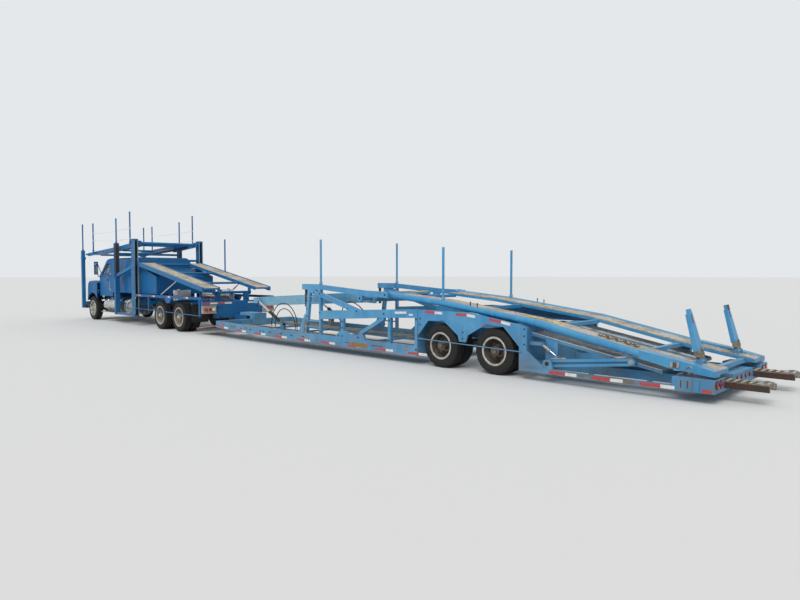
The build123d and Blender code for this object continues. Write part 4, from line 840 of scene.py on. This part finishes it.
# Cab trim
def ring_bar(form, points, radius, sides=8):
    """Closed bar around a loop of points."""
    form.tube(list(points) + [points[0], points[1]], radius, sides)


# Rubber around the windscreen, on its slanted face, its middle bar and the wipers
screen_low, screen_high = (18.86, 1.81), (18.4, 2.34)
screen_slope = (screen_low[0] - screen_high[0]) / (screen_high[1] - screen_low[1])


def screen_point(off, y, z):
    """Point that stands off the windscreen's face."""
    return (screen_low[0] - (z - screen_low[1]) * screen_slope + off, y, z)


gaskets = Pieces()
screen_corners = ((-0.862, 1.852), (0.862, 1.852), (0.862, 2.288), (-0.862, 2.288))
ring_bar(gaskets, [screen_point(-0.004, y, z) for y, z in screen_corners], 0.013)
gaskets.tube([screen_point(0.0, 0.0, 1.86), screen_point(0.0, 0.0, 2.28)], 0.012)
for side in (1, -1):
    shaft = screen_point(0.03, side * 0.12, 1.83)
    bend = (screen_point(0.035, 0.0, 1.84)[0], side * 0.14, 1.86)
    gaskets.tube([shaft, bend, screen_point(0.016, side * 0.52, 2.16)], 0.007)
    gaskets.tube([screen_point(0.012, side * 0.44, 1.9), screen_point(0.012, side * 0.56, 2.26)], 0.01)
gaskets.made("windscreen_rubber_and_wipers", black_plastic, "truck", "trim_black")


def door_y(z):
    """Side of the door's outer skin: upright up to the sill, leaning in above."""
    return 1.04 - max(0.0, z - 1.8) * 0.08 / 0.6


grab_line = ((1.041, 1.18), (1.085, 1.22), (1.085, 1.78), (1.041, 1.82))
window = [(18.01, 1.8), (18.69, 1.8), (18.34, 2.2), (18.01, 2.2)]
for side, label in ((1, "left"), (-1, "right")):
    body = "door_" + label
    rubbers = Pieces()
    ring_bar(rubbers, [(s, side * (door_y(z) - 0.002), z) for s, z in window], 0.011)
    rubbers.block((18.06, 18.2), sorted((side * 1.04, side * 1.062)), (1.56, 1.592))
    rubbers.tube([(18.835, side * 1.155, 1.8), (18.835, side * 1.155, 2.26)], 0.012)
    rubbers.made(f"door_{label}_rubber", black_plastic, body, "trim_black")
    pane = Pieces()
    pane.block((18.8075, 18.8105), sorted((side * 1.165, side * 1.275)), (1.81, 2.1))
    pane.turned([(0, 0.052), (0.006, 0.05), (0.012, 0.03), (0.014, tip)], (18.81, side * 1.22, 2.185),
                rearward)
    pane.made(f"mirror_{label}_faces", chrome, body, "rod_chrome")
    grab = Pieces()
    grab.tube([(17.86, side * y, z) for y, z in grab_line], 0.014)
    for z in (1.19, 1.81):
        grab.turned([(0, 0.03), (0.006, 0.03)], (17.86, side * 1.039, z), (0, side, 0), 16)
    grab.made(f"grab_bar_{label}", chrome, "truck", "rod_chrome")

roof_lamps, roof_lenses = Pieces(), Pieces()
for y in (-0.72, -0.18, 0.0, 0.18, 0.72):
    roof_lamps.block((18.235, 18.345), (y - 0.045, y + 0.045), (2.372, 2.392))
    roof_lenses.prism([(18.24, 2.39), (18.34, 2.39), (18.32, 2.412), (18.26, 2.424)], (y - 0.036, y + 0.036))
roof_lamps.made("roof_lamp_bases", black_plastic, "truck", "trim_black")
roof_lenses.made("roof_lamp_lenses", amber_lens, "truck", "lamp_red", bevel=0.006)

# Hood: bright surrounds of lamps and grille, turn signals, rubber lips round the wheel arches, latches
hood_trim = Pieces()
lamp_corners = [(20.4, 0.6, 1.02), (20.3464, 0.86, 1.02), (20.3464, 0.86, 1.18), (20.4, 0.6, 1.18)]
for side in (1, -1):
    ring_bar(hood_trim, [(s + 0.002, side * y, z) for s, y, z in lamp_corners], 0.012)
grille_corners = ((-0.434, 0.838), (0.434, 0.838), (0.434, 1.322), (-0.434, 1.322))
ring_bar(hood_trim, [(20.4, y, z) for y, z in grille_corners], 0.013)
hood_trim.made("grille_and_lamp_surrounds", chrome, "hood", "bumper_chrome")

signals = Pieces()
signals.block((20.372, 20.386), (0.64, 0.82), (0.945, 0.99))
signals.made("hood_turn_signals", amber_lens, "hood", "lamp_red", both=True, bevel=0.005)

lips = Pieces()
arch = [math.radians(30 + 5.2 * k) for k in range(23)]
lips.tube([(19.45 + 0.608 * math.cos(a), 1.149, 0.457 + 0.608 * math.sin(a)) for a in arch], 0.012)
lips.made("wheel_arch_lips", flap_rubber, "hood", "flap_rubber", both=True)

latches = Pieces()
latches.block((18.975, 19.02), (0.905, 0.93), (1.6, 1.7))
latches.made("hood_latches", black_plastic, "hood", "trim_black", both=True, bevel=0.003)

# Tanks: straps, filler caps and tread bars on the step
straps = Pieces()
for start, end in ((17.05, 18.55), (15.45, 16.65)):
    for s in (start + 0.25, end - 0.25):
        ring_bar(straps, [(s, 0.77 + 0.283 * c, 0.64 + 0.283 * up) for c, up in around(32)], 0.008, 6)
    filler = ((start + end) / 2 + 0.3, 0.88, 0.885)
    straps.turned([(0, 0.055), (0.03, 0.055), (0.034, 0.04), (0.036, tip)], filler, (0, 0.45, 0.9), 20)
straps.made("tank_straps_and_caps", chrome, "truck", "rod_chrome", both=True)

step_bars = Pieces()
for i in range(26):
    s = 17.03 + 0.0625 * i
    step_bars.block((s, s + 0.012), (0.905, 1.115), (0.372, 0.38))
step_bars.made("step_treads", tank_aluminium, "truck", "tank_alu", both=True)

# Trailer fasteners: bolts on the gussets, pin heads at the pivots
truss_bolts = [(5.36, z) for z in (0.46, 0.62, 0.8, 0.98, 1.16, 1.34)]
truss_bolts += [(4.87, z) for z in (0.46, 0.9, 1.34)] + [(4.075, z) for z in (0.42, 0.6, 0.74)]
truss_bolts += [(2.59, 0.42), (2.59, 0.84), (3.55, 0.42), (4.2, 0.42), (3.9, 1.03), (3.6, 0.985)]
truss_bolts += [(5.1, 1.36), (2.75, 0.97), (1.835, 0.3), (1.835, 0.9)]
truss_bolts += [(s, 0.36) for s in (9.5, 9.2, 8.6, 8.0)] + [(s, 0.32) for s in (7.2, 6.4)]
fender_bolts = [(1.74, 0.8), (1.74, 0.92), (0.675, 0.6), (0.675, 0.72)]
fender_bolts += [(-0.655, z) for z in (0.6, 0.74, 0.86)]
trailer_bolts = Pieces()
bolts(trailer_bolts, [(s, bolt_seat, z) for s, z in truss_bolts], leftward, 0.026, low_head)
bolts(trailer_bolts, [(s, fender_face - 0.0005, z) for s, z in fender_bolts], leftward, 0.018)
for s, z, size in ((3.5, 1.27, 0.024), (2.72, 1.36, 0.022)):
    head = [(-0.001, size), (0.0035, size), (0.0045, size * 0.85)]
    trailer_bolts.turned(head, (s, outer_face, z), leftward)
trailer_bolts.turned([(0, 0.034), (0.012, 0.034), (0.014, 0.02)], (-1.08, 1.25, 0.31), leftward, 20)
trailer_bolts.made("trailer_bolts_and_pins", cast_iron, "trailer", "iron", both=True)

# Slotted tie-down holes along the trailer's rail, shown by dark plates on the rail's face: painted shade of
# the holes
slot_shade_plates = Pieces()
for i in range(9):
    s = 9.2 - 0.46 * i
    z = line_z(rail_bottom, s) + 0.115
    slot_shade_plates.block((s - 0.045, s + 0.045), on_outer_face(0.0008), (z - 0.012, z + 0.012))
slot_shade_plates.made("tie_down_slot_shade", black_plastic, "trailer", "trim_black", both=True)

# Tail boxes: two seams of the welded plates, two narrow slots drawn as dark strips of painted shade, and the
# top edge rubbed to pale paint
tail_seams_and_slot_shade = Pieces()
for s, half, heights in ((-3.4, 0.0025, (0.165, 0.33)), (-3.5, 0.0025, (0.165, 0.33)),
                         (-3.335, 0.006, (0.195, 0.3)), (-3.245, 0.006, (0.195, 0.3))):
    tail_seams_and_slot_shade.block((s - half, s + half), on_outer_face(0.0006), heights)
tail_seams_and_slot_shade.made("tail_box_seams_and_slot_shade", black_plastic, "trailer", "trim_black", both=True)
tail_edges = Pieces()
tail_edges.block((-3.685, -3.125), (1.262, 1.2905), (0.3385, 0.3412))
tail_edges.block((-3.6905, -3.6885), (0.905, 1.285), (0.322, 0.3405))
tail_edges.made("tail_box_pale_edges", faded_paint, "trailer", "trailer_blue", both=True)

# Left side: painted shade in the gaps over the tape where the rail's lower plate stands off, as thin dark
# strips, and a torn, rusty place
rail_gap_shade = Pieces()
for start, end in ((3.98, 3.5), (3.12, 2.78)):
    z0, z1 = line_z(rail_bottom, start) + 0.1, line_z(rail_bottom, end) + 0.1
    rail_gap_shade.prism([(start, z0 - 0.006), (end, z1 - 0.004), (end, z1 + 0.006), (start, z0 + 0.009)],
                    on_outer_face(0.0006))
rail_gap_shade.made("rail_plate_gap_shade", black_plastic, "trailer", "trim_black")
torn_place = Pieces()
torn_place.prism([(3.66, 0.206), (3.29, 0.202), (3.235, 0.24), (3.262, 0.296), (3.43, 0.312), (3.56, 0.304),
                  (3.64, 0.316), (3.76, 0.3), (3.85, 0.292), (3.842, 0.262), (3.68, 0.256)],
                 on_outer_face(0.0025))
torn_place.made("rail_torn_place", bled_rust, "trailer", "skid_steel")

# Control valve under the mid beam, with its knob and two ports, and the guide posts beside the ladder
valve = Pieces()
valve.block((4.47, 4.58), (1.195, 1.275), (0.69, 0.812))
knob = [(0, 0.028), (0.05, 0.028), (0.056, 0.02), (0.075, 0.02), (0.078, tip)]
valve.turned(knob, (4.525, 1.235, 0.692), downward, 16)
for z in (0.72, 0.77):
    valve.turned([(0, 0.016), (0.04, 0.016), (0.044, 0.01)], (4.472, 1.235, z), rearward, 12)
valve.made("control_valve", chain_steel, "trailer", "skid_steel", bevel=0.004)
guides = Pieces()
guides.turned([(0.0, 0.034), (0.42, 0.034)], (5.47, 1.215, 1.02), upward, 20)
for z in (1.02, 1.16, 1.3, 1.412):
    guides.turned([(0, 0.04), (0.018, 0.04)], (5.47, 1.215, z), upward, 20)
guides.made("ladder_guide_posts", core_steel, "trailer", "iron", both=True)

# Blank plates on the mid beam
plates = Pieces()
plates.prism([(2.42, 0.985), (2.1, 0.998), (2.1, 1.045), (2.42, 1.032)], on_outer_face(0.0015))
plates.prism([(2.03, 0.965), (1.92, 0.968), (1.92, 1.005), (2.03, 1.002)], on_outer_face(0.0015))
plates.made("blank_rail_plates", white_plate, "trailer", "deck_steel")


# Cylinders: gland ring at the mouth, ring at the foot, and ports
def dress_barrel(form, base, direction, length, radius, ports):
    """Rings and ports of a barrel, from its base and direction and the ports' distances from the base."""
    run = Vector(direction).normalized()
    seat = radius * 0.98
    form.turned([(0, seat), (0, radius * 1.02), (0.002, radius * 1.18), (0.033, radius * 1.18),
                 (0.0345, radius * 1.05), (0.0345, seat), (0, seat)],
                Vector(base) + run * (length - 0.035), run, 24, False)
    form.turned([(0, seat), (0.002, radius * 1.1), (0.018, radius * 1.1), (0.02, seat), (0, seat)],
                Vector(base) + run * 0.085, run, 24, False)
    out = run.cross(leftward).normalized()
    out = out if out.z > 0 else -out
    for distance in ports:
        port = Vector(base) + run * distance + radius * 0.9 * out
        form.turned([(0, 0.013), (0.018, 0.013), (0.018, 0.009), (0.03, 0.009)], port, out, 8)


lift_glands = Pieces()
dress_barrel(lift_glands, (6.755, 0.99, 0.51), (1.145, 0, 0.58), 0.68, 0.042, (0.13, 0.61))
lift_glands.made("front_deck_cylinder_glands", barrel_paint, "front_deck_barrels", "barrel_grey", both=True)
arm_glands = Pieces()
dress_barrel(arm_glands, (-0.9, 1.137, 0.62), (-0.3, 0, -0.19), 0.2, 0.024, (0.13,))
arm_glands.made("arm_cylinder_glands", barrel_paint, "trailer", "barrel_grey", both=True)

# Rear deck: two upright pins and round bosses along its rails
rear_rail = [(2.78, 1.365), (1.29, 1.24), (-0.87, 0.96), (-2.63, 0.59), (-3.67, 0.42)]
rear_pins = Pieces()
for s in (0.6, 0.44):
    rear_pins.turned([(0, 0.01), (0.06, 0.01), (0.062, 0.014), (0.074, 0.014)],
                     (s, 1.143, line_z(rear_rail, s) + 0.058), upward, 12)
rear_pins.made("rear_deck_pins", cast_iron, "rear_deck", "iron", both=True)
rail_bosses = Pieces()
for s in (2.2, 1.5, 0.0, -0.8, -1.6, -2.4):
    boss = (s, 1.205, line_z(rear_rail, s))
    rail_bosses.turned([(-0.01, 0.02), (0.006, 0.02), (0.008, 0.01)], boss, leftward, 16)
rail_bosses.made("rear_rail_bosses", deck_paint, "rear_deck", "trailer_blue", both=True)

# At the tail: a ring on the rail with paint inside it, and a silver clamp with a rusty slot
tail_rings = Pieces()
tail_rings.turned([(0.0, 0.046), (0.016, 0.046), (0.019, 0.041), (0.016, 0.035), (0.002, 0.034)],
                  (-3.33, 1.205, 0.455), leftward, 32, False)
tail_rings.made("tail_rings", barrel_paint, "rear_deck", "barrel_grey", both=True)
clamps = Pieces()
for s, width in ((-3.085, 0.04), (-3.175, 0.034)):
    clamps.block((s - width / 2, s + width / 2), (1.2, 1.232), (0.455, 0.535))
clamps.made("tail_clamps", barrel_paint, "rear_deck", "barrel_grey", both=True, bevel=0.006)
slots = Pieces()
slots.block((-3.158, -3.105), (1.2, 1.218), (0.462, 0.528))
slots.made("tail_clamp_slots", rusty_steel, "rear_deck", "skid_steel", both=True)


# Chain and strap left lying on the left rear runway
def runway_height(s):
    """Top of the rear runway's ribs."""
    return line_z(rear_runway_line, s) + 0.011


def chain_link(form, centre, direction, flat):
    """Oval link about a centre, lying flat or on edge."""
    direction = direction.normalized()
    side = direction.cross(Vector(upward)).normalized()
    other = side if flat else side.cross(direction).normalized()
    points = [centre + direction * 0.032 * c + other * 0.018 * s for c, s in around(12)]
    ring_bar(form, points, 0.0055, 6)


chain = Pieces()
random.seed(7)
chain_line = []
for i in range(46):
    s = -1.8 - 0.0145 * i
    y = 0.86 + 0.035 * math.sin(i * 0.62) + 0.01 * math.sin(i * 1.7)
    chain_line.append(Vector((s, y, runway_height(s) + 0.012 + 0.006 * random.random())))
walked = 0.0
link_gap = 0.02585
edge_lift = 0.012
flat = True
for a, b in zip(chain_line, chain_line[1:]):
    walked += (b - a).length
    if walked >= link_gap:
        walked = 0.0
        chain_link(chain, (a + b) / 2 + Vector((0, 0, 0.0 if flat else edge_lift)), b - a, flat)
        flat = not flat
chain.made("tie_down_chain", chain_steel, "rear_deck", "skid_steel")

strap = Pieces()
strap_half, strap_thick = 0.025, 0.003
shares = [i / 14 for i in range(15)]
strap_line = [(-0.42 - 0.8 * share, 0.78 + 0.2 * share + 0.035 * math.sin(share * 7.0)) for share in shares]
past_end = (strap_line[-1][0] - 0.05, strap_line[-1][1])
strap_points = []
for (s, y), (s2, y2) in zip(strap_line, strap_line[1:] + [past_end]):
    run = Vector((s2 - s, y2 - y, 0)).normalized()
    run *= strap_half
    left, right = (s - run.y, y + run.x), (s + run.y, y - run.x)
    low = runway_height(s) + 0.001
    high = low + strap_thick
    strap_points += [(*left, low), (*right, low), (*right, high), (*left, high)]
strap.rings(strap_points, 4, True)
strap.made("load_strap", yellow_webbing, "rear_deck", "flap_rubber")

# Flippers: folded side flanges, rusty feet and, on the right one, a rusty top block
flip_lean = Vector((0.2, 0.0, 0.755)).normalized()
flip_face = Vector(leftward).cross(flip_lean)


def flip_point(side, across, up, off):
    """Point of a flipper: across it, up along its lean, and off its face."""
    return Vector((-3.37, side * 0.85 + across, 0.536)) + flip_lean * up + flip_face * off


def flip_block(form, side, across, up, off):
    """Box in a flipper's own directions."""
    form.add([flip_point(side, a, u, o) for a in across for u in up for o in off], box_faces)


flap_edges = [(0.118, 0.15), (0.062, 0.7)]
for side, label in ((1, "left"), (-1, "right")):
    body = "flipper_" + label
    flanges = Pieces()
    for sign in (1, -1):
        points = [flip_point(side, sign * a, up, off) for across, up in flap_edges
                  for a in (across - 0.007, across) for off in (0.02, 0.04)]
        flanges.add(points, box_faces)
    for up in (0.3, 0.5):
        flip_block(flanges, side, (-0.07, 0.07), (up, up + 0.01), (0.02, 0.032))
    flip_block(flanges, side, (-0.119, 0.119), (0.156, 0.176), (-0.034, 0.034))
    flanges.made(f"flipper_{label}_flanges", deck_paint, body, "trailer_blue")
    feet = Pieces()
    flip_block(feet, side, (-0.0875, 0.0875), (0.032, 0.066), (-0.026, 0.026))
    flip_block(feet, side, (-0.1205, 0.1205), (0.066, 0.156), (-0.026, 0.026))
    for across in (-0.08, 0.0, 0.08):
        for sign in (1, -1):
            bolt(feet, flip_point(side, across, 0.11, sign * 0.025), sign * flip_face, 0.026)
    feet.made(f"flipper_{label}_feet", skid_steel, body, "skid_steel")
    rust = Pieces()
    flip_block(rust, side, (-0.016, 0.022), (0.56, 0.69), (-0.0228, -0.0215))
    bolt(rust, flip_point(side, -0.03, 0.168, -0.033), -flip_face, 0.024, 0.01)
    if side < 0:
        flip_block(rust, side, (-0.042, 0.042), (0.69, 0.772), (-0.03, 0.03))
    rust.made(f"flipper_{label}_rust", rusty_steel, body, "skid_steel")

# Skids: worn tops of their slats, rusty sides, and hook plates with two bars at the tips
hook_outline = [(-4.245, 0.205), (-4.02, 0.232), (-4.02, 0.285), (-4.15, 0.312), (-4.235, 0.3),
                (-4.245, 0.26)]
for side, label in ((1, "left"), (-1, "right")):
    body = "skid_" + label
    slats = Pieces()
    for i in range(13):
        s = -4.2 + 0.1 * i
        slats.block((s - 0.021, s + 0.021), sorted((side * 0.546, side * 0.834)), (0.2915, 0.294))
    slats.made(f"skid_{label}_slat_tops", runway_zinc, body, "deck_steel")
    bars = Pieces()
    for y in (0.509, 0.871):
        bars.block((-4.249, -3.13), sorted((side * (y - 0.0012), side * (y + 0.0012))), (0.192, 0.279))
    bars.made(f"skid_{label}_rusty_sides", core_steel, body, "skid_steel")
    hooks = Pieces()
    for y in (0.555, 0.815):
        hooks.prism(hook_outline, sorted((side * y, side * (y + 0.014))))
    for s in (-4.2, -4.06):
        hooks.tube([(s, side * 0.548, 0.27), (s, side * 0.832, 0.27)], 0.012, 10)
    hooks.made(f"skid_{label}_hooks", barrel_paint, body, "barrel_grey")

# Front deck: painted pin heads along its rails
front_rail = [(3.42, 1.39), (3.65, 1.4), (7.95, 1.18)]
front_pins = Pieces()
pins(front_pins, [(s, 0.93, line_z(front_rail, s) - 0.1) for s in (4.4, 5.3, 6.2, 7.1)], 0.02, 0.012, 0.01)
front_pins.made("front_deck_pins", faded_paint, "front_deck", "trailer_blue", both=True)

# Hydraulic hoses: crimped ferrules where they leave their blocks
ferrules = Pieces()
for foot in ((7.04, 1.14, 0.4), (5.955, 1.14, 0.4), (6.935, 1.1, 0.4), (6.08, 1.1, 0.4),
             (4.245, 1.14, 0.87), (3.565, 1.14, 0.98)):
    ferrules.turned([(0.0, 0.017), (0.014, 0.017)], foot, upward, 6)
    ferrules.turned([(0.014, 0.0145), (0.02, 0.0155), (0.052, 0.0155), (0.056, 0.0125)], foot, upward, 16)
ferrules.made("hose_ferrules", chrome, "trailer", "rod_chrome")

# Lift arms: web plate between the bars, lengthwise guide sleeves at both ends, roller ends and bolts
arm_web = Pieces()
arm_web.prism([(-1.14, 0.288), (-2.42, 0.434), (-2.42, 0.494), (-1.14, 0.348)], (1.135, 1.15))
arm_web.made("lift_arm_webs", left_truss_paint, "lift_arms", "trailer_blue", both=True)
arm_gear = Pieces()
arm_slope = (-1.4, 0, 0.155)
for start, length, radius in (((-1.13, 1.18, 0.39), 0.26, 0.0155), ((-2.22, 1.172, 0.512), 0.19, 0.018)):
    end, collar = radius * 0.8, radius * 1.15
    arm_gear.turned([(0, end), (0.004, radius), (length * 0.22, radius), (length * 0.24, collar),
                     (length * 0.32, collar), (length * 0.34, radius), (length - 0.004, radius),
                     (length, end)], start, arm_slope, 20)
for s, z, radius in ((-1.08, 0.31, 0.05), (-2.48, 0.465, 0.04)):
    arm_gear.turned([(0, radius), (0.012, radius), (0.016, radius * 0.7)], (s, 1.19, z), leftward, 20)
bolts(arm_gear, [(s, 1.1895, z) for s, z in ((-1.35, 0.385), (-1.75, 0.43), (-2.2, 0.48))], leftward, 0.02)
arm_gear.made("lift_arm_rollers", barrel_paint, "lift_arms", "barrel_grey", both=True)
